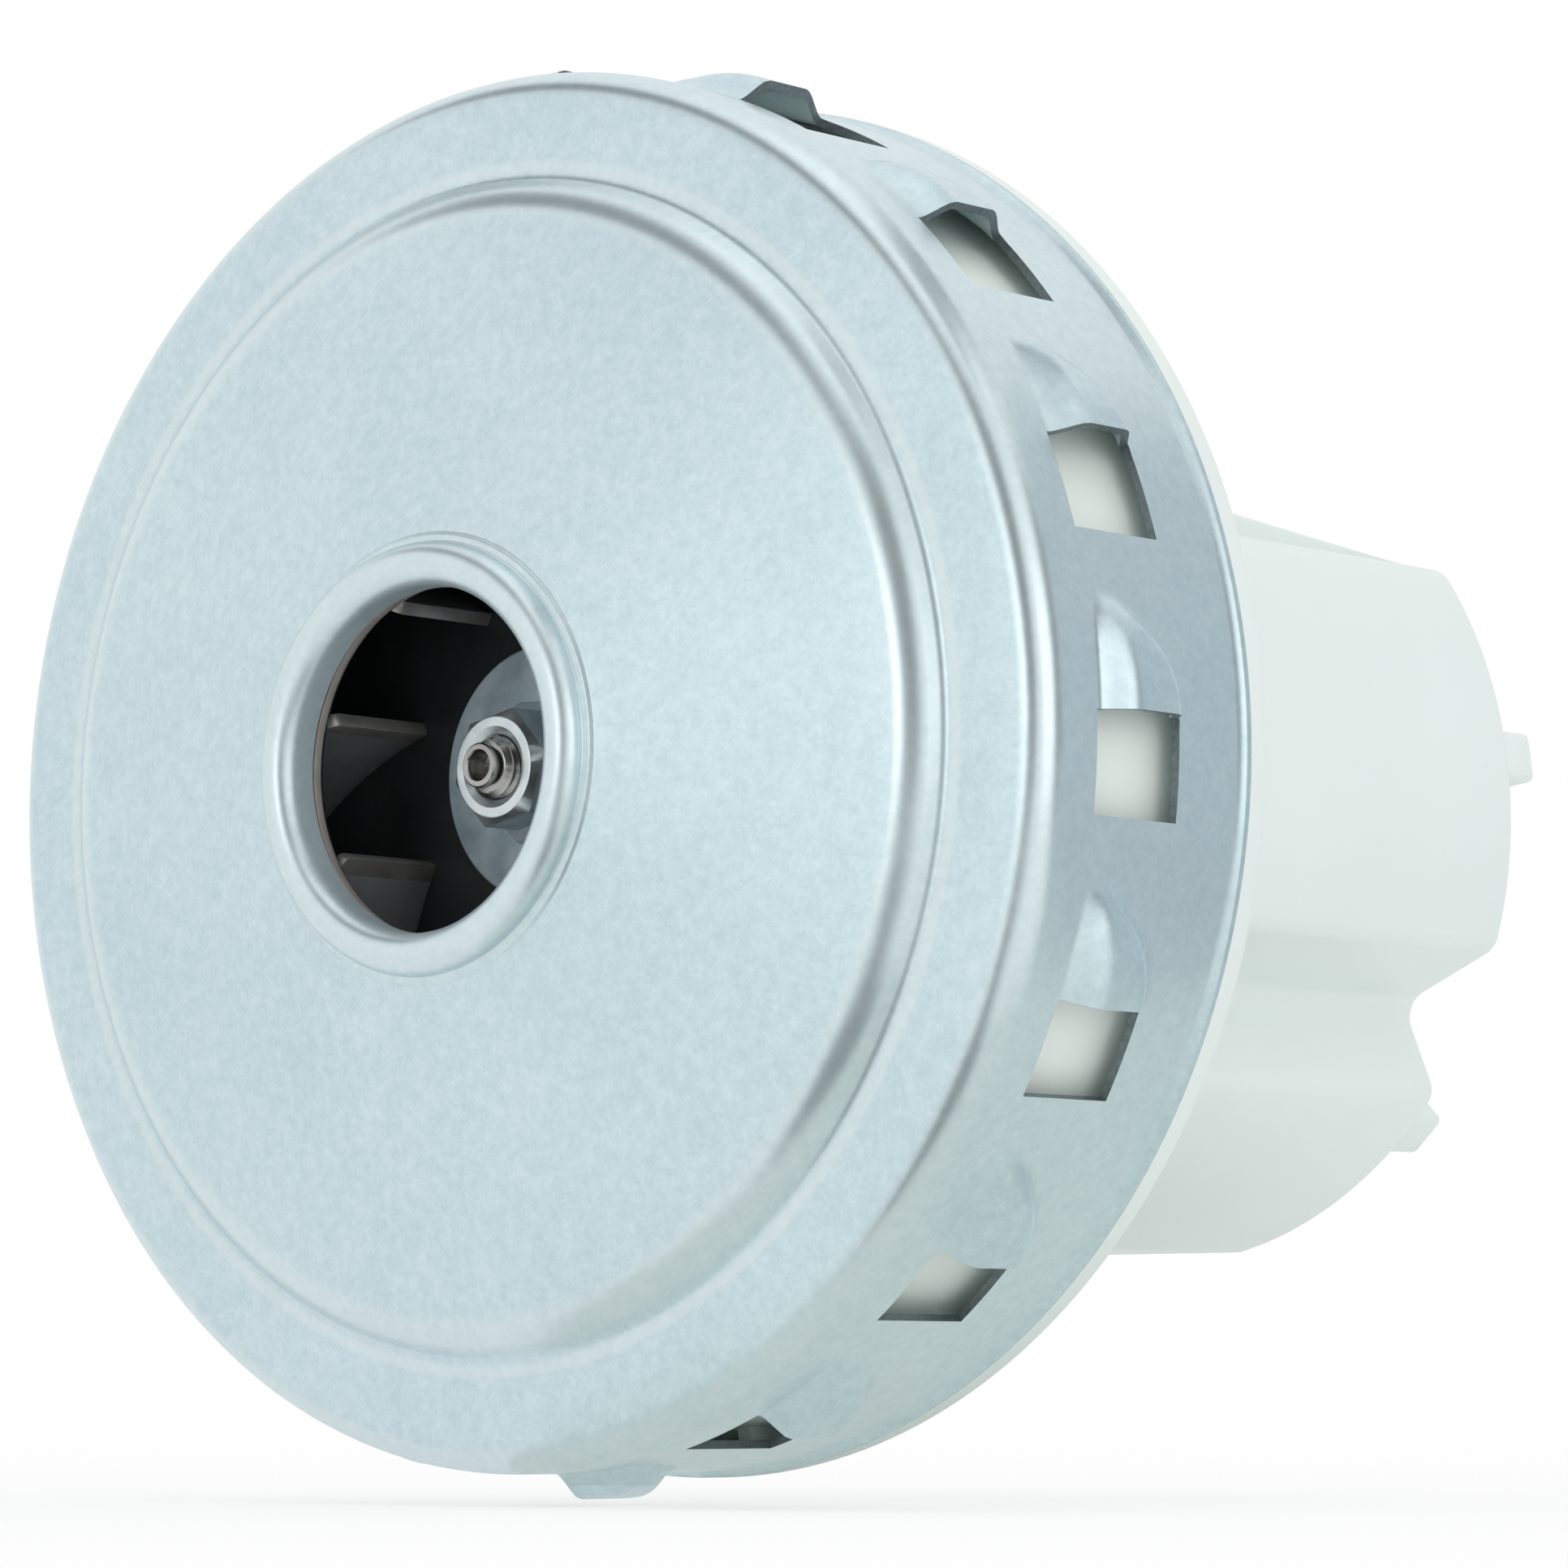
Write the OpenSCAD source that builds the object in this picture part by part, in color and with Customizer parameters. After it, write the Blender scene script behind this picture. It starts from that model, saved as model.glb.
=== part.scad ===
// Vacuum motor unit: a single-stage suction fan on a universal motor.
// Millimetres. Each piece is drawn standing, with the inlet up and the rim of the
// fan cover at height 0, and is then laid down so that the inlet faces -Y and +Z is up.

/* [Fan cover] */
// Thickness of the cover's steel sheet
sheet_t = 0.8; // [0.6:0.1:1]
// How far the cover's rim stays inside the flange's edge
rim_in = 0.05; // [0.05:0.05:0.5]
// How far the rim stands out past the skirt
rim_flare = 0.5; // [0.3:0.1:0.8]
// Height of the flared rim
flare_h = 1.2; // [0.8:0.1:2]
// Height of the shoulder above the rim
cover_h = 28.8; // [28:0.2:32]
// Outer radius of the rounded shoulder
shoulder_fillet = 3.2; // [2:0.2:5]
// Rise of the outer annulus from the shoulder to the step
annulus_rise = 0.9; // [0:0.1:1.5]
// Width of the outer annulus from the skirt to the foot of the step
annulus_w = 10.4; // [8:0.2:12]
// Radial run of the step
step_run = 2; // [1.5:0.1:3]
// Height of the step
step_h = 2.4; // [2:0.1:3.5]
// Radius of the ring where the face steepens
slope_r = 27.3; // [24:0.5:32]
// Rise of the face from the step to that ring
face_rise = 4.5; // [4:0.1:5.5]
// Rise of the face from that ring to the lip
hub_rise = 1.6; // [1:0.1:2.5]
// Radius of the inlet eye
eye_r = 15.9; // [14:0.1:17]
// Outer radius of the rolled lip's section
lip_r = 1.6; // [1.4:0.1:2]
// Height of the lip above the face
lip_h = 2.1; // [1.8:0.1:3]
// Length of the straight wall of the eye
eye_wall = 2.2; // [1.5:0.1:3]

/* [Outlet windows] */
// Number of windows round the skirt
window_count = 16; // [12:1:17]
// Height of a window's lower side above the rim
window_z = 9.9; // [8:0.1:11]
// Height of a window along the skirt
window_h = 11.6; // [9:0.1:13]
// Open angle of a window
window_deg = 8.2; // [6:0.1:9]
// Angle that a hood covers
hood_deg = 8.8; // [7:0.1:10]
// How far a hood's free edge stands out
hood_rise = 2.4; // [1.5:0.1:3.5]
// Angle from a hood's root to its knee
knee_deg = 3.2; // [2.4:0.1:4]
// Share of the rise that a hood reaches at its knee
knee_share = 0.72; // [0.6:0.02:0.84]
// Angle of the first window's open edge
window_phase = -6.93; // [-20:0.01:20]

/* [Impeller] */
// How far the impeller's rim stays inside the top of the step
impeller_in = 2.1; // [1.8:0.1:5]
// Thickness of the shroud's sheet
shroud_t = 0.9; // [0.7:0.1:1.2]
// Running gap between the shroud's rim and the cover
shroud_gap = 2; // [1.5:0.1:2.5]
// Height of the shroud's collar
collar_h = 1.2; // [1:0.1:1.5]
// Inner radius of the shroud's collar
collar_r = 16.2; // [15:0.1:16.4]
// Axial running gap between the collar and the eye
collar_gap = 0.5; // [0.4:0.1:1]
// Thickness of the back plate
back_plate_t = 1; // [0.8:0.1:1.5]
// Number of blades
blade_count = 8; // [6:1:10]
// Thickness of a blade
blade_t = 1.3; // [0.8:0.1:1.8]
// Radius at a blade's inner edge
blade_in_r = 16.4; // [16:0.1:20]
// Angle of the first blade's inner edge
blade_phase = 28.7; // [0:0.1:45]
// Angle that a blade sweeps from its inner to its outer edge
blade_sweep = 46; // [30:1:60]
// Radius of a blade's curve
blade_curve_r = 40; // [34:1:60]
// Radius of the clamping washers
washer_r = 12; // [10:0.5:13]
// Thickness of the clamping washers
washer_t = 1.2; // [1:0.1:2]
// Width of the nut across its flats
nut_af = 10; // [9:0.5:12]
// Height of the nut with its flange
nut_h = 6.4; // [5:0.1:7]
// Radius of the nut's flange
nut_flange_r = 7; // [6.5:0.1:8]
// Thickness of the nut's flange
nut_flange_t = 1.4; // [1:0.1:2]
// Outer radius of the spacer sleeve
spacer_r = 6; // [5.5:0.1:6.5]

/* [Shaft] */
// Radius of the thread under the nut
thread_r = 3; // [2.5:0.1:3.4]
// Radius of the shaft's main length
shaft_r = 4.5; // [4.3:0.1:5]
// Radius of the collar behind the front bearing
shaft_collar_r = 5; // [4.9:0.1:5.2]
// Radius of the shaft's reduced tip
tip_r = 2.1; // [1.8:0.05:2.3]
// Length of the reduced tip
tip_l = 1.2; // [0.8:0.1:1.6]
// Radius of the centre hole in the tip
centre_hole_r = 1.4; // [1:0.05:1.5]
// How far the shaft stands out of the nut
shaft_reach = 2; // [1.8:0.1:3]

/* [Bearings] */
// Bore radius of the front bearing
front_bore_r = 4; // [3.5:0.1:4.2]
// Outer radius of the front bearing
front_od_r = 11; // [10.5:0.1:12]
// Width of the front bearing
front_b = 7; // [6:0.5:8]
// Bore radius of the rear bearing
rear_bore_r = 3; // [2.5:0.1:3.5]
// Outer radius of the rear bearing
rear_od_r = 9.5; // [9:0.1:10]
// Width of the rear bearing
rear_b = 6; // [5:0.5:7]
// Number of balls in a bearing
ball_count = 7; // [6:1:7]
// Wall of the rubber bush round the rear bearing
bush_t = 1.6; // [1:0.1:2]

/* [Diffuser bracket] */
// Thickness of the bracket's base
bracket_base = 3; // [2.5:0.1:4]
// Wall thickness of the bracket
bracket_wall = 2; // [1.6:0.1:2.5]
// Clear height of the space inside the bracket
bracket_room = 13.5; // [12:0.1:15]
// Height of the front bearing's seat above the rim
bearing_floor = 1; // [0.8:0.1:1.5]
// Distance of the diffuser wall's foot inside the bracket's edge
diffuser_in = 1.4; // [1.2:0.05:7]
// How far the diffuser wall leans in from its foot to its top
diffuser_lean = 0.8; // [0.5:0.1:3]
// Gap between a guide vane and the bracket's edge
vane_in = 0.45; // [0.3:0.05:1]
// Thickness of a guide vane
vane_t = 1.6; // [1.2:0.1:2]
// Gap between the bracket's top and the impeller
bracket_gap = 1.8; // [1.2:0.1:2.5]

/* [Housing] */
// Radius of the flange
flange_r = 65.55; // [64:0.05:70]
// Thickness of the flange
flange_t = 2.6; // [2:0.1:4]
// Outer radius of the housing
housing_r = 44.5; // [44:0.1:46]
// Length of the housing behind the rim
housing_l = 72.5; // [72:0.5:78]
// Wall thickness of the housing
housing_wall = 2.2; // [1.8:0.1:2.4]
// Height of the flat top above the axis
flat_top = 25.5; // [25.3:0.1:26.5]
// Depth of the flat bottom below the axis
flat_bottom = 43.2; // [42:0.1:43.8]
// Half width of the sloping roof
roof_half_w = 33; // [28:0.5:34]
// Rise of the roof at the flange
roof_rise = 6.5; // [4:0.1:8]
// Rise of the roof at its rear end
roof_end_rise = 0.4; // [0.3:0.1:1]
// Angle of the side groove
groove_deg = -29.9; // [-33:0.1:-27]
// Distance of the groove's rounded bottom from the axis
groove_at_r = 39.8; // [39.6:0.1:40.5]
// Radius of the groove's rounded bottom
groove_fillet = 2.6; // [2:0.1:2.8]
// Half of the angle between the groove's walls
groove_half_deg = 47.3; // [40:0.1:50]
// Turn of the groove against its own radius
groove_turn = 7.8; // [5:0.1:10]
// Length of the rear pegs
peg_l = 4.5; // [3:0.1:6]
// Width of a rear peg
peg_w = 5; // [4:0.1:6]
// Distance of a rear peg's face inside the housing's surface
peg_in = 0.3; // [0.2:0.1:1]
// Radial thickness of a rear peg
peg_t = 3.6; // [3:0.1:4.5]
// How far the bearing boss stands out of the rear wall
boss_reach = 6; // [5:0.5:8]
// Number of air slots in the rear wall
vent_count = 10; // [8:1:10]
// Width of a rear air slot
vent_w = 3.4; // [2.5:0.1:4]
// Length of a rear air slot
vent_l = 9; // [7:0.5:10]
// Angle that a side air outlet spans
outlet_deg = 16; // [12:1:18]
// Height of a side air outlet
outlet_h = 7; // [5:0.5:8]

/* [Stator] */
// Outer radius of the stator stack
stator_r = 34.8; // [34:0.1:35]
// Half height between the stator's flats
stator_flat = 23; // [22:0.1:23]
// Distance of the stator stack behind the rim
stator_at = 18; // [17:0.5:20]
// Length behind the stator stack for the commutator and the brushes
brush_room = 22.5; // [22:0.1:24]
// Air gap between the armature and the poles
air_gap = 0.6; // [0.4:0.05:0.8]
// Thickness of the yoke at the flats
yoke_t = 4.2; // [3.5:0.1:4.5]
// Half width of the winding window
window_half_w = 26.5; // [26:0.1:27]
// Half width of a pole's neck
pole_neck = 8.5; // [7:0.1:9]
// Thickness of a pole shoe
shoe_t = 3; // [2.5:0.1:3.2]
// Half angle of a pole shoe
shoe_deg = 52; // [45:1:56]
// Radial depth of a field coil
coil_d = 3.8; // [3:0.1:4]
// Height of a field coil's side
coil_w = 8.6; // [7:0.1:9]
// How far a field coil stands out past the stack
coil_over = 4.6; // [4:0.1:5]
// Radius of the stator screws
stator_screw_r = 1.6; // [1.5:0.1:2]
// Sideways place of the stator screws
stator_screw_x = 30; // [29.5:0.1:30.5]
// Height of the stator screws above the axis
stator_screw_y = 9; // [8.5:0.1:10]

/* [Armature] */
// Radius of the armature
armature_r = 18; // [17.5:0.1:18.5]
// How much shorter than the stator stack the armature is
armature_short = 2; // [0:0.5:4]
// Number of slots in the armature
slot_count = 12; // [10:1:14]
// Radius of a slot
slot_r = 2.3; // [2:0.1:2.4]
// Distance of a slot from the axis
slot_at_r = 13.4; // [13:0.1:13.8]
// Width of a slot's mouth
slot_mouth = 1.6; // [1.2:0.1:2]
// Length of the winding's overhang at each end
overhang = 6; // [5:0.1:6.5]
// Gap between the winding and the commutator
riser_gap = 1.4; // [1:0.1:2]
// Radius of the commutator
commutator_r = 10.5; // [10:0.1:11]
// Length of the commutator
commutator_l = 10; // [9:0.5:11]
// Number of commutator bars
bar_count = 24; // [20:2:28]
// Thickness of a commutator bar
bar_t = 2.4; // [2:0.1:2.8]
// Gap between commutator bars
bar_gap = 0.5; // [0.4:0.05:0.7]

/* [Cooling fan] */
// Radius of the cooling fan
fan_r = 28; // [24:0.5:30]
// Number of cooling fan blades
fan_blades = 9; // [7:1:11]
// Depth of the cooling fan
fan_h = 6; // [5:0.5:6.5]
// Distance of the cooling fan behind the rim
fan_at = 3; // [2:0.1:4]

/* [Brushes] */
// Width of a brush along the axis
brush_w = 9; // [8:0.1:9.5]
// Height of a brush round the commutator
brush_h = 6; // [5:0.1:6.4]
// Length of a brush
brush_l = 14; // [12:0.5:15]
// Wall of a brush holder
holder_wall = 0.8; // [0.6:0.1:1]
// Distance of a holder's mouth from the commutator
holder_gap = 2.5; // [2:0.1:4]
// Length of a holder
holder_l = 23; // [22:0.5:24]
// Number of coils in a brush spring
spring_turns = 8; // [6:1:9]
// Wire radius of a brush spring
spring_wire_r = 0.25; // [0.2:0.01:0.3]
// Radius of a brush spring at its wire
spring_r = 2.2; // [1.8:0.1:2.4]
// Thickness of the cap that closes a holder
cap_t = 0.8; // [0.6:0.1:1]

/* [Terminals] */
// Width of a terminal blade
blade_w = 6.3; // [4.8:0.1:6.6]
// Thickness of a terminal blade
terminal_t = 0.8; // [0.5:0.1:1]
// Length of a terminal outside the rear wall
terminal_out = 8; // [6:0.5:9]
// Sideways place of a terminal
terminal_x = 9; // [8:0.5:12]
// Depth of the terminals below the axis
terminal_y = 32; // [31:0.5:34]

/* [Bracket screws] */
// Number of screws that hold the bracket
bracket_screw_count = 4; // [4:1:6]
// Gap between a screw's head and the foot of the diffuser wall
bracket_screw_gap = 7.2; // [5:0.1:7.4]
// Radius of a bracket screw
bracket_screw_r = 1.75; // [1.5:0.05:2]
// Radius of a bracket screw's head
bracket_head_r = 3.5; // [3:0.1:4]
// Height of a bracket screw's head
bracket_head_h = 2.4; // [2:0.1:3]
// Depth of the housing's screw bosses behind the flange
screw_boss_l = 8; // [6:0.5:10]
// Depth of the stator screws in their posts
post_screw_l = 11; // [8:0.5:13]

/* [Clearances] */
// Running clearance of the bearings' balls
ball_gap = 0.15; // [0.1:0.01:0.2]
// Gap between pieces that are pushed together
push_gap = 0.05; // [0.03:0.01:0.08]
// Gap round a sliding brush
slide_gap = 0.1; // [0.06:0.01:0.15]
// Gap between a brush and the commutator
brush_gap = 0.3; // [0.3:0.05:0.5]

/* [Hidden] */
$fn = 96;

// A cutter reaches this far past the face that it opens
past = 1;
// Points on each rounded corner of a sheet profile
bend_points = 8;

// Fan cover radii and heights
rim_r = flange_r - rim_in;
skirt_r = rim_r - rim_flare;
skirt_in_r = skirt_r - sheet_t;
step_foot_z = cover_h + annulus_rise;
step_foot_r = skirt_r - annulus_w;
step_top_r = step_foot_r - step_run;
step_top_z = step_foot_z + step_h;
slope_z = step_top_z + face_rise;
lip_foot_z = slope_z + hub_rise;
lip_out_r = eye_r + 2*lip_r;
crest_z = lip_foot_z + lip_h;
eye_end_z = crest_z - lip_r - eye_wall;
window_pitch = 360/window_count;

// The bracket fills the skirt, and its screws stand inside the diffuser wall
bracket_r = skirt_in_r - push_gap;
diffuser_foot_r = bracket_r - diffuser_in;
diffuser_top_r = diffuser_foot_r - diffuser_lean;
bracket_screw_at_r = diffuser_foot_r - bracket_wall - bracket_head_r - bracket_screw_gap;

// Heights of the stack on the shaft, from the front bearing forwards
front_bearing_z = bearing_floor;
collar_end_z = front_bearing_z;
spacer_z = front_bearing_z + front_b;
bracket_top_base = bracket_base + bracket_room;
bracket_top_z = bracket_top_base + bracket_wall;
rear_washer_z = bracket_top_z + bracket_gap - washer_t;
spacer_l = rear_washer_z - spacer_z;
back_plate_z = rear_washer_z + washer_t;
front_washer_z = back_plate_z + back_plate_t;
nut_z = front_washer_z + washer_t;
nut_top_z = nut_z + nut_h;
shaft_top_z = nut_top_z + shaft_reach;
blade_z = back_plate_z + back_plate_t;

// The shroud rises under the cover's face from its rim to its collar
face_slope = face_rise/(step_top_r - slope_r);
impeller_r = step_top_r - impeller_in;
shroud_rim_z = step_top_z + face_slope*(step_top_r - impeller_r) - sheet_t - shroud_gap;
shroud_out_r = collar_r + shroud_t;
collar_top_z = eye_end_z - collar_gap;
collar_foot_z = collar_top_z - collar_h;
shroud_slope = (collar_foot_z - shroud_rim_z)/(impeller_r - shroud_out_r);

// Depths behind the rim, as heights below 0
rear_wall_in_z = -(housing_l - housing_wall);
stator_l = housing_l - stator_at - brush_room;
stator_top_z = -stator_at;
stator_end_z = stator_top_z - stator_l;
armature_l = stator_l - armature_short;
armature_top_z = stator_top_z - (stator_l - armature_l)/2;
armature_end_z = armature_top_z - armature_l;
commutator_top_z = armature_end_z - overhang - riser_gap;
commutator_end_z = commutator_top_z - commutator_l;
brush_z = commutator_top_z - commutator_l/2;
rear_bearing_z = rear_wall_in_z - 1 - rear_b;
shaft_end_z = rear_bearing_z;
fan_top_z = -fan_at;
fan_end_z = fan_top_z - fan_h;
boss_in_r = rear_od_r + bush_t + 2*push_gap;
boss_r = boss_in_r + housing_wall;
boss_end_z = -housing_l - boss_reach;
stator_bore_r = armature_r + air_gap;
coil_in_x = window_half_w - coil_d - 0.3;
coil_half = pole_neck + 0.4 + coil_w;
brush_in_r = commutator_r + brush_gap;
brush_out_r = brush_in_r + brush_l;
holder_in_r = commutator_r + holder_gap;
holder_out_r = holder_in_r + holder_l;
spring_l = holder_out_r - cap_t - brush_out_r;

// Plane vectors
function unit(v) = v/norm(v);
function left_of(v) = [-v[1], v[0]];
function cross2(a, b) = a[0]*b[1] - a[1]*b[0];
function polar(r, a) = r*[cos(a), sin(a)];
function heading(v) = atan2(v[1], v[0]);
// Shortest turn from one heading to another
function turn(a, b) = let (d = b - a) d > 180 ? d - 360 : d < -180 ? d + 360 : d;

// Points of a rounded corner at q between p and s
function corner(p, q, s, r) =
    let (a = unit(p - q), b = unit(s - q))
    let (half = acos(a*b)/2, centre = q + unit(a + b)*r/sin(half))
    let (from = heading(q + a*r/tan(half) - centre), to = heading(q + b*r/tan(half) - centre))
    [for (i = [0:bend_points]) centre + polar(r, from + turn(from, to)*i/bend_points)];

// A path of straight runs with its inner corners rounded to the radii given
function rounded(path, radii) =
    let (last = len(path) - 1)
    [for (i = [0:last]) each i == 0 || i == last || radii[i] <= 0
        ? [path[i]] : corner(path[i-1], path[i], path[i+1], radii[i])];

// Where two lines meet, each given by a point and a direction
function meet(p, u, q, v) = p + u*cross2(q - p, v)/cross2(u, v);

// The same path moved t to its left
function moved(path, t) =
    let (last = len(path) - 1)
    let (runs = [for (i = [0:last-1]) unit(path[i+1] - path[i])])
    [for (i = [0:last])
        i == 0 ? path[0] + t*left_of(runs[0])
        : i == last ? path[last] + t*left_of(runs[last-1])
        : meet(path[i] + t*left_of(runs[i-1]), runs[i-1], path[i] + t*left_of(runs[i]), runs[i])];

// Radii of the moved path's corners: tighter on a left turn, wider on a right one
function moved_radii(path, radii, t) =
    let (last = len(path) - 1)
    [for (i = [0:last]) i == 0 || i == last ? 0
        : radii[i] - t*sign(cross2(path[i] - path[i-1], path[i+1] - path[i]))];

function reversed(list) = [for (i = [len(list)-1:-1:0]) list[i]];

// Outline of bent sheet of thickness t to the left of a path
function sheet(path, radii, t) =
    concat(rounded(path, radii), reversed(rounded(moved(path, t), moved_radii(path, radii, t))));

// Lays a standing piece down: its top faces -Y
module lay() {
    rotate([90, 0, 0]) children();
}

// A ring between two radii
module ring(r_out, r_in, h) {
    difference() {
        cylinder(r = r_out, h = h);
        translate([0, 0, -past]) cylinder(r = r_in, h = h + 2*past);
    }
}

// A flat sector from one angle over a span of angle
module sector(r, from, span) {
    polygon([[0, 0], polar(r, from), polar(r/cos(span/2), from + span/2), polar(r, from + span)]);
}

// A rectangle with round corners, centred
module round_box(w, h, r) {
    square([w - 2*r, h], center = true);
    square([w, h - 2*r], center = true);
    for (x = [-1, 1], y = [-1, 1]) translate([x*(w/2 - r), y*(h/2 - r)]) circle(r);
}

// Fan cover
cover_path = [
    [rim_r, 0], [rim_r, flare_h/3], [skirt_r, flare_h], [skirt_r, cover_h], [step_foot_r, step_foot_z],
    [step_top_r, step_top_z], [slope_r, slope_z], [lip_out_r, lip_foot_z],
    [lip_out_r, crest_z], [eye_r, crest_z], [eye_r, eye_end_z]
];
lip_bend = lip_r - 0.05;
cover_radii = [0, 0, 1, shoulder_fillet, 1.2, 1.8, 12, 0.9, lip_bend, lip_bend, 0];
// Outer line of a hood: free edge, knee, and root a little way into the skirt
root_deg = 0.8;
function hood_line(open_edge) = [
    polar(skirt_r + hood_rise, open_edge),
    polar(skirt_r + knee_share*hood_rise, open_edge + hood_deg - knee_deg),
    polar(skirt_r, open_edge + hood_deg + root_deg)
];

// Bent plate and two cheeks of one hood
module hood(open_edge) {
    line = hood_line(open_edge);
    translate([0, 0, window_z]) {
        linear_extrude(window_h) polygon(sheet(line, [0, 0, 0], sheet_t));
        for (z = [0, window_h]) translate([0, 0, z - sheet_t/2])
            linear_extrude(sheet_t) difference() {
                polygon(concat([[0, 0]], line));
                circle(skirt_r - sheet_t/2);
            }
    }
}

module fan_cover() {
    color("LightSteelBlue") {
        difference() {
            rotate_extrude() polygon(sheet(cover_path, cover_radii, sheet_t));
            for (i = [0:window_count-1]) translate([0, 0, window_z]) linear_extrude(window_h)
                difference() {
                    sector(2*skirt_r, window_phase + i*window_pitch, window_deg + hood_deg);
                    circle(skirt_in_r - past);
                }
        }
        for (i = [0:window_count-1]) hood(window_phase + i*window_pitch + window_deg);
    }
}

// Diffuser bracket: base, bearing tube, top plate, outer wall and guide vanes
bearing_seat_r = front_od_r + push_gap;
bearing_tube_r = bearing_seat_r + bracket_wall;
shaft_hole_r = spacer_r + 1.5;
vane_top_z = window_z - 0.4;

module diffuser_profile() {
    translate([shaft_hole_r, 0]) square([bearing_tube_r - shaft_hole_r, front_bearing_z]);
    translate([bearing_seat_r, 0]) square([bracket_wall, front_bearing_z + front_b + 1]);
    translate([bearing_tube_r - past, 0]) square([bracket_r - bearing_tube_r + past, bracket_base]);
    translate([shaft_hole_r, bracket_top_base])
        square([diffuser_top_r - shaft_hole_r, bracket_wall]);
    polygon([
        [diffuser_foot_r, 0], [diffuser_top_r, bracket_top_z],
        [diffuser_top_r - bracket_wall, bracket_top_z], [diffuser_foot_r - bracket_wall, 0]
    ]);
}

module guide_vane(a) {
    rotate(a) translate([diffuser_foot_r - bracket_wall/2, -vane_t/2, bracket_base - push_gap])
        cube([diffuser_in - vane_in + bracket_wall/2, vane_t, vane_top_z - bracket_base + push_gap]);
}

module bracket_screw_places() {
    for (i = [0:bracket_screw_count-1])
        rotate(45 + i*360/bracket_screw_count) translate([bracket_screw_at_r, 0]) children();
}

module diffuser_bracket() {
    land = window_phase - (window_pitch - window_deg - hood_deg)/2;
    color("WhiteSmoke") difference() {
        union() {
            rotate_extrude() diffuser_profile();
            for (i = [0:window_count-1]) guide_vane(land + i*window_pitch);
        }
        bracket_screw_places() translate([0, 0, -past])
            cylinder(r = bracket_screw_r + push_gap, h = bracket_base + 2*past);
    }
}

// Housing outline, drawn in by the wall for the inside
module groove(grow) {
    tilt = groove_deg + groove_turn;
    foot = polar(groove_at_r, groove_deg) - polar(groove_fillet/sin(groove_half_deg), tilt);
    path = [
        foot + polar(housing_r, tilt + groove_half_deg), foot,
        foot + polar(housing_r, tilt - groove_half_deg)
    ];
    polygon(rounded(moved(path, -grow), [0, groove_fillet + grow, 0]));
}

module housing_outline(inset) {
    difference() {
        intersection() {
            circle(housing_r - inset);
            translate([-housing_r, inset - flat_bottom])
                square([2*housing_r, flat_top + flat_bottom - 2*inset]);
        }
        for (side = [0, 1]) mirror([side, 0]) groove(inset);
    }
}

// Sloping roof on the flat top, highest at the flange
module roof(inset) {
    end = inset > 0 ? rear_wall_in_z : -housing_l;
    foot = flat_top - housing_wall - past;
    translate([inset - roof_half_w, 0, 0]) rotate([90, 0, 90])
        linear_extrude(2*(roof_half_w - inset)) polygon([
            [foot, 0], [flat_top + roof_rise - inset, 0],
            [flat_top + roof_end_rise - inset, end], [foot, end]
        ]);
}

// One air slot of the rear wall, along a radius
module rear_vent(a) {
    rotate(a) translate([boss_r + 1.6 + vent_w/2, 0]) {
        circle(vent_w/2);
        translate([0, -vent_w/2]) square([vent_l - vent_w, vent_w]);
        translate([vent_l - vent_w, 0]) circle(vent_w/2);
    }
}

module stator_posts(r) {
    for (x = [-1, 1], y = [-1, 1]) translate([x*stator_screw_x, y*stator_screw_y]) circle(r);
}

module peg(a) {
    rotate(a) translate([housing_r - peg_in - peg_t, -peg_w/2, -housing_l - peg_l])
        cube([peg_t, peg_w, peg_l + housing_wall/2]);
}

module terminal_places() {
    for (x = [-1, 1]) translate([x*terminal_x, -terminal_y]) children();
}

// Rests on the rear wall under each brush holder
holder_half_w = brush_w/2 + slide_gap + holder_wall;
holder_half_h = brush_h/2 + slide_gap + holder_wall;
holder_low_z = brush_z - holder_half_w;
pedestal_l = 8;
post_r = stator_screw_r + 1.5;

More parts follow.
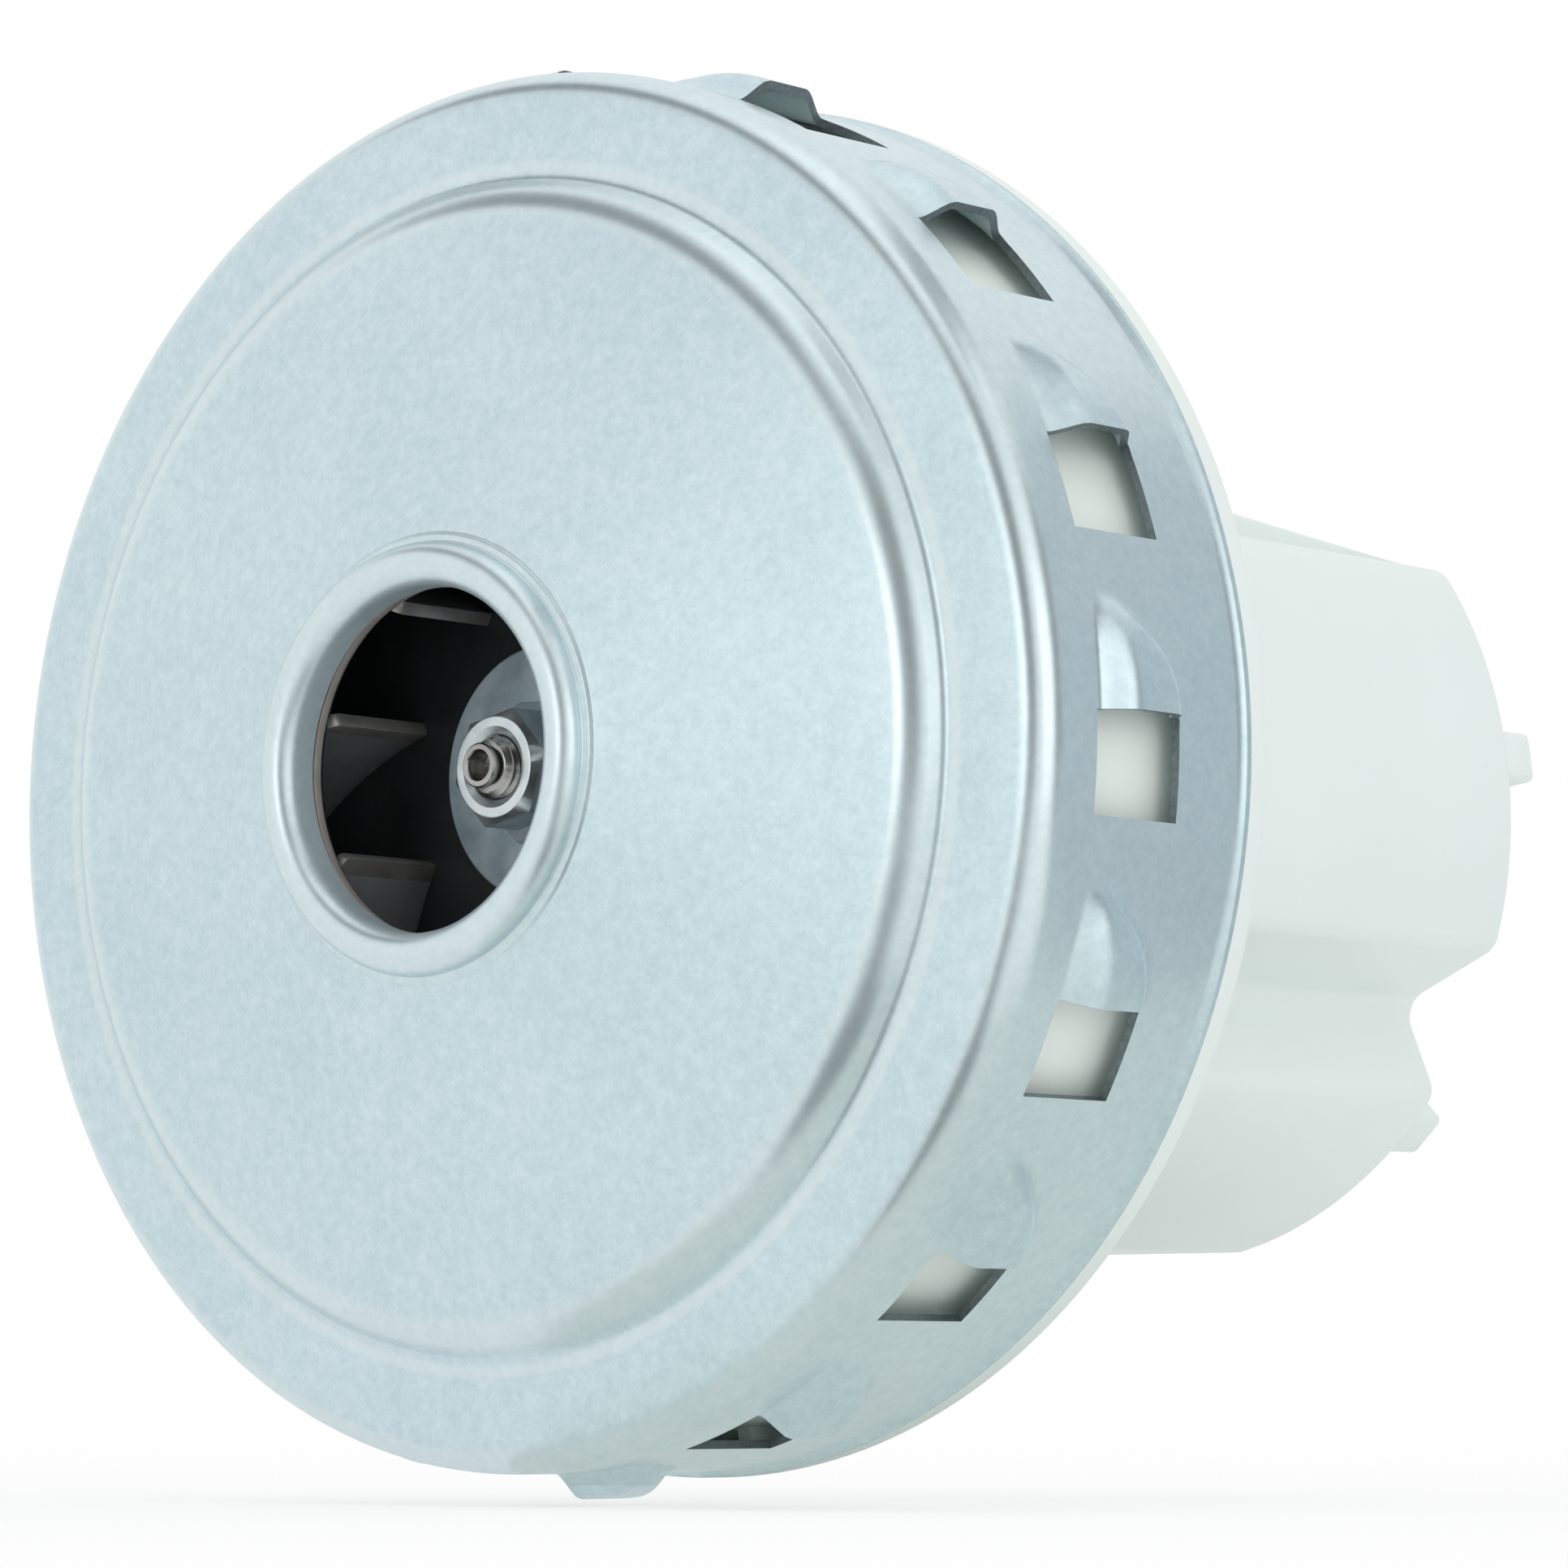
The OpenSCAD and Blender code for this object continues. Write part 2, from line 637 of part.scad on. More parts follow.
module motor_housing() {
    pegs = [8, -46, 172, 226];
    outlets = [165, 183, 240, 260];
    color("White") difference() {
        union() {
            difference() {
                union() {
                    translate([0, 0, -flange_t]) cylinder(r = flange_r, h = flange_t);
                    translate([0, 0, -housing_l]) linear_extrude(housing_l) housing_outline(0);
                    roof(0);
                }
                translate([0, 0, rear_wall_in_z])
                    linear_extrude(past - rear_wall_in_z) housing_outline(housing_wall);
                roof(housing_wall);
                for (a = outlets) translate([0, 0, -flange_t - 1.5 - outlet_h])
                    linear_extrude(outlet_h) difference() {
                        sector(2*housing_r, a - outlet_deg/2, outlet_deg);
                        circle(housing_r/2);
                    }
            }
            translate([0, 0, boss_end_z]) cylinder(r = boss_r, h = -boss_end_z + rear_wall_in_z);
            translate([0, 0, rear_wall_in_z - housing_wall/2])
                linear_extrude(stator_end_z - rear_wall_in_z + housing_wall/2) stator_posts(post_r);
            for (side = [0, 180]) rotate(side)
                translate([holder_out_r - pedestal_l, -holder_half_h, rear_wall_in_z - housing_wall/2])
                    cube([pedestal_l, 2*holder_half_h, holder_low_z - rear_wall_in_z + housing_wall/2]);
            for (a = pegs) peg(a);
            bracket_screw_places() translate([0, 0, -flange_t - screw_boss_l])
                cylinder(r = bracket_head_r + 0.6, h = screw_boss_l + flange_t/2);
        }
        translate([0, 0, rear_bearing_z - push_gap]) cylinder(r = boss_in_r, h = housing_l);
        translate([0, 0, -housing_l - past]) linear_extrude(housing_wall + 2*past)
            for (i = [0:vent_count-1]) rear_vent((i + 0.5)*360/vent_count);
        translate([0, 0, stator_end_z - post_screw_l - past]) linear_extrude(post_screw_l + 2*past)
            stator_posts(stator_screw_r + push_gap);
        translate([0, 0, -housing_l - past]) linear_extrude(housing_wall + 2*past)
            terminal_places() square([blade_w, terminal_t] + 2*[push_gap, push_gap], center = true);
        bracket_screw_places() translate([0, 0, 1.5 - flange_t - screw_boss_l])
            cylinder(r = bracket_screw_r + push_gap, h = screw_boss_l + flange_t);
    }
}

// Impeller
module impeller_shroud() {
    path = [[impeller_r, shroud_rim_z], [shroud_out_r, collar_foot_z], [shroud_out_r, collar_top_z]];
    color("DimGray") rotate_extrude() polygon(sheet(path, [0, 1, 0], shroud_t));
}

// Space between the back plate and the shroud
module blade_space() {
    low = shroud_t/cos(atan(shroud_slope)) + push_gap;
    rotate_extrude() polygon([
        [blade_in_r, blade_z], [impeller_r - 1, blade_z],
        [impeller_r - 1, shroud_rim_z + shroud_slope - low],
        [blade_in_r, shroud_rim_z + shroud_slope*(impeller_r - blade_in_r) - low]
    ]);
}

// One blade in plan: a ring about the centre of its curve
module blade_plan() {
    from = [blade_in_r - 1, 0];
    to = polar(impeller_r, blade_sweep);
    half = norm(to - from)/2;
    centre = (from + to)/2 + left_of(unit(to - from))*sqrt(blade_curve_r*blade_curve_r - half*half);
    start = heading(from - centre);
    translate(centre) intersection() {
        difference() {
            circle(blade_curve_r + blade_t/2);
            circle(blade_curve_r - blade_t/2);
        }
        sector(2*blade_curve_r, start, turn(start, heading(to - centre)));
    }
}

module impeller_blades() {
    color("DimGray") for (i = [0:blade_count-1]) intersection() {
        blade_space();
        rotate(blade_phase + i*360/blade_count) translate([0, 0, blade_z - past])
            linear_extrude(collar_top_z - blade_z + 2*past) blade_plan();
    }
}

module impeller_back_plate() {
    color("DimGray") translate([0, 0, back_plate_z])
        ring(impeller_r, thread_r + push_gap, back_plate_t);
}

module impeller_washer_front() {
    color("SlateGray") translate([0, 0, front_washer_z]) ring(washer_r, thread_r + push_gap, washer_t);
}

module impeller_washer_rear() {
    color("SlateGray") translate([0, 0, rear_washer_z]) ring(washer_r, thread_r + push_gap, washer_t);
}

module impeller_nut() {
    corner_r = nut_af/2/cos(30);
    chamfer = (corner_r - nut_af/2)/2;
    color("Silver") translate([0, 0, nut_z]) difference() {
        union() {
            cylinder(r = nut_flange_r, h = nut_flange_t);
            intersection() {
                cylinder(r = corner_r, h = nut_h, $fn = 6);
                rotate_extrude() polygon([
                    [0, 0], [corner_r, 0], [corner_r, nut_h - chamfer],
                    [nut_af/2 - chamfer, nut_h], [0, nut_h]
                ]);
            }
        }
        translate([0, 0, -past]) cylinder(r = thread_r + push_gap, h = nut_h + 2*past);
    }
}

module impeller_spacer() {
    color("Silver") translate([0, 0, spacer_z]) ring(spacer_r, front_bore_r + push_gap, spacer_l);
}

// Shaft, turned in steps from the tip to the rear end
module rotor_shaft() {
    tip_z = shaft_top_z - tip_l;
    color("Silver") difference() {
        rotate_extrude() polygon([
            [0, shaft_end_z], [rear_bore_r, shaft_end_z], [rear_bore_r, rear_wall_in_z],
            [shaft_r, rear_wall_in_z], [shaft_r, armature_top_z], [shaft_collar_r, armature_top_z],
            [shaft_collar_r, collar_end_z], [front_bore_r, collar_end_z], [front_bore_r, rear_washer_z],
            [thread_r, rear_washer_z], [thread_r, tip_z], [tip_r, tip_z], [tip_r, shaft_top_z],
            [0, shaft_top_z]
        ]);
        translate([0, 0, shaft_top_z - 2*tip_l]) cylinder(r = centre_hole_r, h = 3*tip_l);
    }
}

// Deep-groove ball bearings
function ball_r(bore, od) = (od - bore)*0.285;

module bearing_race(r_out, r_in, bore, od, b) {
    difference() {
        ring(r_out, r_in, b);
        translate([0, 0, b/2]) rotate_extrude() translate([(bore + od)/2, 0])
            circle(ball_r(bore, od) + ball_gap);
    }
}

module bearing_outer(bore, od, b) {
    color("Gainsboro") bearing_race(od, (bore + od)/2 + 0.7*ball_r(bore, od), bore, od, b);
}

module bearing_inner(bore, od, b) {
    color("Gainsboro")
        bearing_race((bore + od)/2 - 0.7*ball_r(bore, od), bore + push_gap, bore, od, b);
}

module bearing_balls(bore, od, b) {
    color("Silver") for (i = [0:ball_count-1])
        rotate(i*360/ball_count) translate([(bore + od)/2, 0, b/2]) sphere(ball_r(bore, od));
}

module at_front_bearing() {
    translate([0, 0, front_bearing_z]) children();
}

module at_rear_bearing() {
    translate([0, 0, rear_bearing_z]) children();
}

module rear_bearing_bush() {
    color("DarkSlateGray") at_rear_bearing()
        ring(rear_od_r + push_gap + bush_t, rear_od_r + push_gap, rear_b);
}

// Cooling fan behind the bracket
module cooling_fan() {
    disc_t = 1.5;
    hub_r = shaft_collar_r + 3.5;
    color("Gray") translate([0, 0, fan_end_z]) difference() {
        union() {
            cylinder(r = fan_r, h = disc_t);
            cylinder(r = hub_r, h = fan_h);
            for (i = [0:fan_blades-1]) rotate(i*360/fan_blades)
                translate([hub_r + 3, -disc_t/2, disc_t/2])
                    cube([fan_r - hub_r - 3.5, disc_t, fan_h - disc_t/2]);
        }
        translate([0, 0, -past]) cylinder(r = shaft_collar_r + push_gap, h = fan_h + 2*past);
    }
}

// Armature
module armature_stack() {
    color("DarkGray") translate([0, 0, armature_end_z]) linear_extrude(armature_l) difference() {
        circle(armature_r);
        circle(shaft_r + push_gap);
        for (i = [0:slot_count-1]) rotate(i*360/slot_count) {
            translate([slot_at_r, 0]) circle(slot_r);
            translate([slot_at_r, -slot_mouth/2]) square([armature_r, slot_mouth]);
        }
    }
}

// End bundle of the winding, rounded at its outer end
module winding_end() {
    in_r = shaft_collar_r + 1;
    out_r = slot_at_r + slot_r + 0.4;
    bulge = overhang/3;
    rotate_extrude() {
        translate([in_r, 0]) square([out_r - in_r, overhang - bulge]);
        translate([in_r + bulge, 0]) square([out_r - in_r - 2*bulge, overhang]);
        for (r = [in_r + bulge, out_r - bulge]) translate([r, overhang - bulge]) circle(bulge);
    }
}

module armature_winding() {
    gap = 0.2;
    color("Peru") {
        translate([0, 0, armature_top_z + gap]) winding_end();
        translate([0, 0, armature_end_z - gap]) mirror([0, 0, 1]) winding_end();
        for (i = [0:slot_count-1]) rotate(i*360/slot_count)
            translate([slot_at_r, 0, armature_end_z - 2*gap])
                cylinder(r = slot_r - gap, h = armature_l + 4*gap);
    }
}

module commutator_core() {
    color("Sienna") translate([0, 0, commutator_end_z])
        ring(commutator_r - bar_t - push_gap, shaft_r + push_gap, commutator_l);
}

module commutator_bars() {
    color("DarkGoldenrod") translate([0, 0, commutator_end_z]) linear_extrude(commutator_l)
        difference() {
            circle(commutator_r);
            circle(commutator_r - bar_t);
            for (i = [0:bar_count-1]) rotate(i*360/bar_count)
                translate([0, -bar_gap/2]) square([2*commutator_r, bar_gap]);
        }
}

// Stator
module pole() {
    difference() {
        union() {
            translate([stator_bore_r, -pole_neck])
                square([window_half_w - stator_bore_r + past, 2*pole_neck]);
            intersection() {
                circle(stator_bore_r + shoe_t);
                sector(2*stator_r, -shoe_deg, 2*shoe_deg);
            }
        }
        circle(stator_bore_r);
    }
}

module stator_stack() {
    window_half_h = stator_flat - yoke_t;
    color("DarkGray") translate([0, 0, stator_end_z]) linear_extrude(stator_l) difference() {
        union() {
            difference() {
                intersection() {
                    circle(stator_r);
                    square([2*stator_r, 2*stator_flat], center = true);
                }
                round_box(2*window_half_w, 2*window_half_h, 2);
            }
            for (a = [0, 180]) rotate(a) pole();
        }
        stator_posts(stator_screw_r + push_gap);
    }
}

// A field coil wound round one pole's neck
module field_coil() {
    hole_w = 2*(pole_neck + 0.4);
    long = stator_l + 2*coil_over;
    color("Peru") translate([coil_in_x, 0, (stator_top_z + stator_end_z)/2]) rotate([90, 0, 90])
        linear_extrude(coil_d) difference() {
            round_box(hole_w + 2*coil_w, long, 4);
            round_box(hole_w, stator_l + 0.8, 1);
        }
}

// Two long screws, on opposite corners of the stator
module stator_screws() {
    head_r = stator_screw_r + 1.2;
    head_h = 1.8;
    color("Silver") for (a = [0, 180]) rotate(a) translate([stator_screw_x, stator_screw_y, 0]) {
        translate([0, 0, stator_end_z - post_screw_l])
            cylinder(r = stator_screw_r, h = stator_l + post_screw_l);
        translate([0, 0, stator_top_z]) cylinder(r = head_r, h = head_h);
    }
}

module bracket_screws() {
    color("Silver") bracket_screw_places() {
        translate([0, 0, 2 - flange_t - screw_boss_l])
            cylinder(r = bracket_screw_r, h = screw_boss_l + flange_t - 2 + bracket_base);
        translate([0, 0, bracket_base]) cylinder(r = bracket_head_r, h = bracket_head_h);
    }
}

// Brush gear along +X; the other side is turned half round
module at_side(side) {
    rotate(side) translate([0, 0, brush_z]) children();
}

module tube_box(from, l, half_w, half_h) {
    translate([from, -half_h, -half_w]) cube([l, 2*half_h, 2*half_w]);
}

module brush_holder(side) {
    color("Goldenrod") at_side(side) difference() {
        tube_box(holder_in_r, holder_l - cap_t, holder_half_w, holder_half_h);
        tube_box(holder_in_r - past, holder_l + 2*past, brush_w/2 + slide_gap, brush_h/2 + slide_gap);
    }
}

module brush_cap(side) {
    color("Goldenrod") at_side(side) tube_box(holder_out_r - cap_t, cap_t, holder_half_w, holder_half_h);
}

module carbon_brush(side) {
    color("DarkSlateGray") at_side(side) difference() {
        tube_box(brush_in_r - 1, brush_l + 1, brush_w/2, brush_h/2);
        translate([0, 0, -brush_w]) cylinder(r = brush_in_r, h = 2*brush_w);
    }
}

// Brush spring: one helical wire between the brush and the cap
spring_sides = 6;
spring_steps = 12;
spring_end_gap = 0.1;
spring_rise = spring_l - 2*spring_wire_r - 2*spring_end_gap;
spring_pitch = spring_rise/spring_turns;
echo(spring_self_gap = spring_pitch - 2*spring_wire_r);

module brush_spring(side) {
    rings = spring_turns*spring_steps;
    points = [for (i = [0:rings], k = [0:spring_sides-1])
        let (a = 360*i/spring_steps, b = 360*k/spring_sides)
        let (r = spring_r + spring_wire_r*cos(b))
        [brush_out_r + spring_end_gap + spring_wire_r + spring_rise*i/rings + spring_wire_r*sin(b),
         r*cos(a), r*sin(a)]];
    walls = [for (i = [0:rings-1], k = [0:spring_sides-1])
        let (n = (k + 1) % spring_sides, p = i*spring_sides)
        each [[p + k, p + spring_sides + k, p + spring_sides + n], [p + k, p + spring_sides + n, p + n]]];
    last = rings*spring_sides;
    ends = [for (k = [1:spring_sides-2]) each [[0, k, k + 1], [last, last + k + 1, last + k]]];
    color("LightGray") at_side(side) polyhedron(points, concat(walls, ends));
}

// Two terminal blades through the rear wall
module terminals() {
    inside = 6;
    color("Gold") translate([0, 0, -housing_l - terminal_out])
        linear_extrude(terminal_out + housing_wall + inside)
            terminal_places() square([blade_w, terminal_t], center = true);
}

lay() fan_cover();
lay() diffuser_bracket();
lay() motor_housing();
lay() impeller_shroud();
lay() impeller_blades();
lay() impeller_back_plate();
lay() impeller_washer_front();
lay() impeller_washer_rear();
lay() impeller_nut();
lay() impeller_spacer();
lay() rotor_shaft();
lay() at_front_bearing() bearing_outer(front_bore_r, front_od_r, front_b);  // front_bearing_outer
lay() at_front_bearing() bearing_balls(front_bore_r, front_od_r, front_b);  // front_bearing_balls
lay() at_front_bearing() bearing_inner(front_bore_r, front_od_r, front_b);  // front_bearing_inner
lay() at_rear_bearing() bearing_outer(rear_bore_r, rear_od_r, rear_b);  // rear_bearing_outer
lay() at_rear_bearing() bearing_balls(rear_bore_r, rear_od_r, rear_b);  // rear_bearing_balls
lay() at_rear_bearing() bearing_inner(rear_bore_r, rear_od_r, rear_b);  // rear_bearing_inner
lay() rear_bearing_bush();
lay() cooling_fan();
lay() armature_stack();
lay() armature_winding();
lay() commutator_core();
lay() commutator_bars();
lay() stator_stack();
lay() rotate(180) field_coil();  // field_coil_left
lay() field_coil();  // field_coil_right
lay() stator_screws();
lay() bracket_screws();
lay() brush_holder(180);  // brush_holder_left
lay() brush_holder(0);  // brush_holder_right
lay() carbon_brush(180);  // carbon_brush_left
lay() carbon_brush(0);  // carbon_brush_right
lay() brush_spring(180);  // brush_spring_left
lay() brush_spring(0);  // brush_spring_right
lay() brush_cap(180);  // brush_cap_left
lay() brush_cap(0);  // brush_cap_right
lay() terminals();
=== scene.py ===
"""Vacuum motor unit: its looks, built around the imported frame.

A drawn steel fan cover with hooded outlet windows stands on a white moulded motor housing.
Through the inlet eye the impeller, its clamping washer, nut and shaft end are seen.
The spin axis is Y, the inlet faces -Y and the flat top of the housing faces +Z.
Sizes are in millimetres, and a height is a distance in front of the cover's rim.
"""

from __future__ import annotations

import logging
import math
from dataclasses import dataclass
from enum import Enum
from typing import Iterable, Sequence

import bmesh
import bpy
from mathutils import Matrix, Vector

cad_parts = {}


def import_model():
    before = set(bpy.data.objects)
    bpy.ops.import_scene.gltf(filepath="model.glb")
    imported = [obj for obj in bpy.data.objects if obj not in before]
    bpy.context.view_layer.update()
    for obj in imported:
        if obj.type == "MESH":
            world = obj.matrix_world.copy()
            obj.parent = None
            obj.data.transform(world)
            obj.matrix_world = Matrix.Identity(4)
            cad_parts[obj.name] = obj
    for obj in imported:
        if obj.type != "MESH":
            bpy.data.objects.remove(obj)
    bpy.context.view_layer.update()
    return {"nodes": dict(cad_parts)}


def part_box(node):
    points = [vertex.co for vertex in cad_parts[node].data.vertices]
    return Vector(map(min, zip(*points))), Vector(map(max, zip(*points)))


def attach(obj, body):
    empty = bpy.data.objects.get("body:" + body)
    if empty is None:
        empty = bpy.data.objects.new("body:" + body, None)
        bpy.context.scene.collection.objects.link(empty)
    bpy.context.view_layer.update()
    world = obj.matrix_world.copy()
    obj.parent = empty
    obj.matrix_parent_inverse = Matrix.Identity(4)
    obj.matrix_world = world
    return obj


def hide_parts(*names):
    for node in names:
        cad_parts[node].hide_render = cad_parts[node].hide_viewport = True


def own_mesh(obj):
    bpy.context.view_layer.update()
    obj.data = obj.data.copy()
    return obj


MM = 0.001
WELD = 0.002 * MM
LOG = logging.getLogger("motor_unit")
SPIN_AXIS = (0.0, -1.0, 0.0)
UP = (0.0, 0.0, 1.0)
WHITE = (1.0, 1.0, 1.0, 1.0)
FLOOR_Z = -0.0680

Triple = tuple[float, float, float]
Material = bpy.types.Material
Piece = bpy.types.Object
Socket = bpy.types.NodeSocket
Tree = bpy.types.NodeTree
Mesh = bmesh.types.BMesh


class Body(Enum):
    """Bodies of the frame that pieces ride on."""

    STATIC = "motor_body"
    ROTOR = "rotor"
    BRUSH_LEFT = "brush_left"
    BRUSH_RIGHT = "brush_right"


def linear(hex_code: str) -> tuple[float, float, float, float]:
    """Turns an sRGB hex colour into linear light.

    Args:
        hex_code: Six hex digits, with or without a leading #.

    Returns:
        Red, green, blue and alpha for a colour socket.
    """
    digits = hex_code.lstrip("#")
    channels = [int(digits[i:i + 2], 16) / 255 for i in (0, 2, 4)]
    r, g, b = (c / 12.92 if c <= 0.04045 else ((c + 0.055) / 1.055) ** 2.4 for c in channels)
    return (r, g, b, 1.0)


def per_mm(size: float) -> float:
    """Scale of a pattern whose features are that many millimetres across."""
    return 1.0 / (size * MM)


def smooth_step(t: float) -> float:
    """Eases a ramp from 0 to 1 at both ends."""
    t = min(max(t, 0.0), 1.0)
    return t * t * (3 - 2 * t)


def at(radius: float, degrees: float, height: float) -> Vector:
    """Gives a point by its place round the shaft.

    Args:
        radius: Distance from the axis.
        degrees: Angle from +X towards +Z, seen from the inlet.
        height: Distance in front of the cover's rim.

    Returns:
        The point in metres.
    """
    a = math.radians(degrees)
    return Vector((radius * math.cos(a), -height, radius * math.sin(a))) * MM


def add_node(tree: Tree, kind: str, settings: dict | None = None,
             inputs: dict | None = None) -> bpy.types.Node:
    """Adds a node with its settings and links.

    Args:
        tree: The node tree.
        kind: The node's type name.
        settings: Attributes to set on the node.
        inputs: Socket name or index, to a value or to an output to link.

    Returns:
        The new node.
    """
    made = tree.nodes.new(kind)
    for key, value in (settings or {}).items():
        setattr(made, key, value)
    for key, value in (inputs or {}).items():
        if isinstance(value, Socket):
            tree.links.new(value, made.inputs[key])
        else:
            made.inputs[key].default_value = value
    return made


def empty_tree(owner: Material | bpy.types.World) -> Tree:
    """Gives a material or a world a node tree with nothing in it."""
    owner.use_nodes = True
    owner.node_tree.nodes.clear()
    return owner.node_tree


def noise(tree: Tree, where: Socket, size: float, detail: float, roughness: float = 0.5) -> Socket:
    """Adds a noise whose features are that many millimetres across."""
    return add_node(tree, "ShaderNodeTexNoise", inputs={
        "Vector": where, "Scale": per_mm(size), "Detail": detail, "Roughness": roughness}).outputs["Fac"]


def calculate(tree: Tree, operation: str, *values: Socket | float) -> Socket:
    """Adds a sum or another operation on values."""
    return add_node(tree, "ShaderNodeMath", {"operation": operation}, dict(enumerate(values))).outputs[0]


def remap(tree: Tree, value: Socket, given: tuple[float, float] = (0.0, 1.0),
          wanted: tuple[float, float] = (0.0, 1.0), eased: bool = False) -> Socket:
    """Maps one range of values on another.

    Args:
        tree: The node tree.
        value: The value to map.
        given: Where its range starts and ends.
        wanted: What these become.
        eased: True for a ramp that is eased at both ends.

    Returns:
        The mapped value.
    """
    return add_node(tree, "ShaderNodeMapRange", {"interpolation_type": "SMOOTHSTEP" if eased else "LINEAR"}, {
        "Value": value, "From Min": given[0], "From Max": given[1],
        "To Min": wanted[0], "To Max": wanted[1]}).outputs[0]


def blend(tree: Tree, share: Socket, first: Socket | tuple, second: Socket | tuple) -> Socket:
    """Mixes two colours; a share of 1 gives the second."""
    return add_node(tree, "ShaderNodeMix", {"data_type": "RGBA"}, {0: share, 6: first, 7: second}).outputs[2]


def relief(tree: Tree, height: Socket, strength: float, depth: float) -> Socket:
    """Gives the normal of a surface with a relief that many millimetres deep."""
    return add_node(tree, "ShaderNodeBump", inputs={
        "Height": height, "Strength": strength, "Distance": depth * MM}).outputs[0]


@dataclass(frozen=True)
class Finish:
    """A procedural surface, named for the real material."""

    name: str

    def material(self) -> Material:
        """Builds the material from the finish's surface."""
        made = bpy.data.materials.new(self.name)
        tree = empty_tree(made)
        where = add_node(tree, "ShaderNodeTexCoord").outputs["Object"]
        shader = add_node(tree, "ShaderNodeBsdfPrincipled", inputs=self.surface(tree, where))
        add_node(tree, "ShaderNodeOutputMaterial", inputs={"Surface": shader.outputs["BSDF"]})
        return made

    def surface(self, tree: Tree, where: Socket) -> dict:
        """Gives the shader's inputs.

        Args:
            tree: The material's node tree.
            where: Object coordinates.

        Returns:
            Socket name to value or output.
        """
        raise NotImplementedError


@dataclass(frozen=True)
class GalvanisedSheet(Finish):
    """Deep-drawn galvanised steel: a satin blue-grey, finely grained, polished where the die bent it, and
    paler on its bends, partly as worn zinc and partly as a painted highlight.
    """

    dark: str = "#BFD3D9"
    light: str = "#D3E4E9"
    # Pale tone on the bends: partly worn zinc, partly a painted highlight of the bends
    drawn: str = "#E0E9EA"
    grain_mm: float = 0.4
    spangle_mm: float = 1.3
    cloud_mm: float = 26.0
    mark_mm: float = 0.7
    eye_r: float = 15.9
    # Radius, half width and gloss of each ring that the die polished, which is also painted paler, partly as
    # wear and partly as a painted highlight
    bends: tuple[Triple, ...] = ((52.6, 2.6, 0.08), (63.9, 1.8, 0.08), (18.2, 3.4, 0.02), (55.7, 0.9, 0.03))
    # With the gloss taken off, the renderer's denoiser needs this above about 0.28
    roughness: tuple[float, float] = (0.365, 0.395)
    # Share of metal in the eye, whose zinc was stretched matt, and on the rest
    metallic: tuple[float, float] = (0.5, 0.76)

    def surface(self, tree: Tree, where: Socket) -> dict:
        """Grain, spangle, clouds and polished bends, whose paler tone is partly wear and partly a painted
        highlight.
        """
        grain = noise(tree, where, self.grain_mm, 3.0, 0.6)
        cloud = noise(tree, where, self.cloud_mm, 4.0, 0.55)
        spangle = noise(tree, where, self.spangle_mm, 3.0, 0.65)
        fine = calculate(tree, "MULTIPLY_ADD", grain, 0.7, spangle)
        share = remap(tree, calculate(tree, "MULTIPLY_ADD", cloud, 0.5, fine), (0.82, 1.38))
        colour = blend(tree, share, linear(self.dark), linear(self.light))
        flat = add_node(tree, "ShaderNodeVectorMath", {"operation": "MULTIPLY"}, {
            0: where, 1: (1.0, 0.0, 1.0)})
        radius = add_node(tree, "ShaderNodeVectorMath", {"operation": "LENGTH"}, {
            0: flat.outputs[0]}).outputs["Value"]
        # Drawing marks run along the pull of the die, so they are long in height
        pulled = add_node(tree, "ShaderNodeMapping", inputs={"Vector": where, "Scale": (1.0, 0.3, 1.0)})
        marks = noise(tree, pulled.outputs[0], self.mark_mm, 2.0, 0.7)
        bent = None
        smoothed = remap(tree, grain, (0.25, 0.75), self.roughness)
        for centre, half, gloss in self.bends:
            away = calculate(tree, "ABSOLUTE", calculate(tree, "SUBTRACT", radius, centre * MM))
            ring = remap(tree, away, (half * MM, 0.25 * half * MM), eased=True)
            bent = calculate(tree, "MAXIMUM", bent, ring) if bent else ring
            smoothed = calculate(tree, "MULTIPLY_ADD", ring, -gloss, smoothed)
        # The bends take streaks of the pale tone: partly worn zinc, partly a painted highlight
        wear_and_painted_highlight = calculate(tree, "MULTIPLY", bent, remap(tree, marks, (0.3, 0.7), (0.32, 0.46)))
        wall = ((self.eye_r + 0.1) * MM, (self.eye_r + 0.8) * MM)
        return {"Base Color": blend(tree, wear_and_painted_highlight, colour, linear(self.drawn)),
                "Metallic": remap(tree, radius, wall, self.metallic),
                "Roughness": smoothed, "Normal": relief(tree, grain, 0.03, 0.05)}


@dataclass(frozen=True)
class ShearedEdge(Finish):
    """Bare edge of blanked steel: grey, with the torn band of the punch."""

    def surface(self, tree: Tree, where: Socket) -> dict:
        """A darker steel with a coarse grain."""
        torn = noise(tree, where, 0.5, 3.0)
        return {"Base Color": blend(tree, torn, linear("#6F777B"), linear("#A9B2B6")), "Metallic": 1.0,
                "Roughness": 0.5}


@dataclass(frozen=True)
class Moulded(Finish):
    """Injection-moulded plastic or rubber: even colour, a fine spark-eroded grit and faint flow clouds."""

    light: str = "#E6EFEC"
    dark: str = "#DFE8E5"
    roughness: float = 0.42
    grit_mm: float = 0.6
    grit_depth: float = 0.02
    spread: float = 0.05
    flow_mm: float = 22.0

    def surface(self, tree: Tree, where: Socket) -> dict:
        """Flow clouds in the colour and grit in the bump."""
        flow = noise(tree, where, self.flow_mm, 3.0)
        grit = noise(tree, where, self.grit_mm, 2.0)
        rough = remap(tree, grit, wanted=(self.roughness - self.spread, self.roughness + self.spread))
        return {"Base Color": blend(tree, flow, linear(self.dark), linear(self.light)), "Metallic": 0.0,
                "Roughness": rough, "IOR": 1.5, "Normal": relief(tree, grit, 0.15, self.grit_depth)}


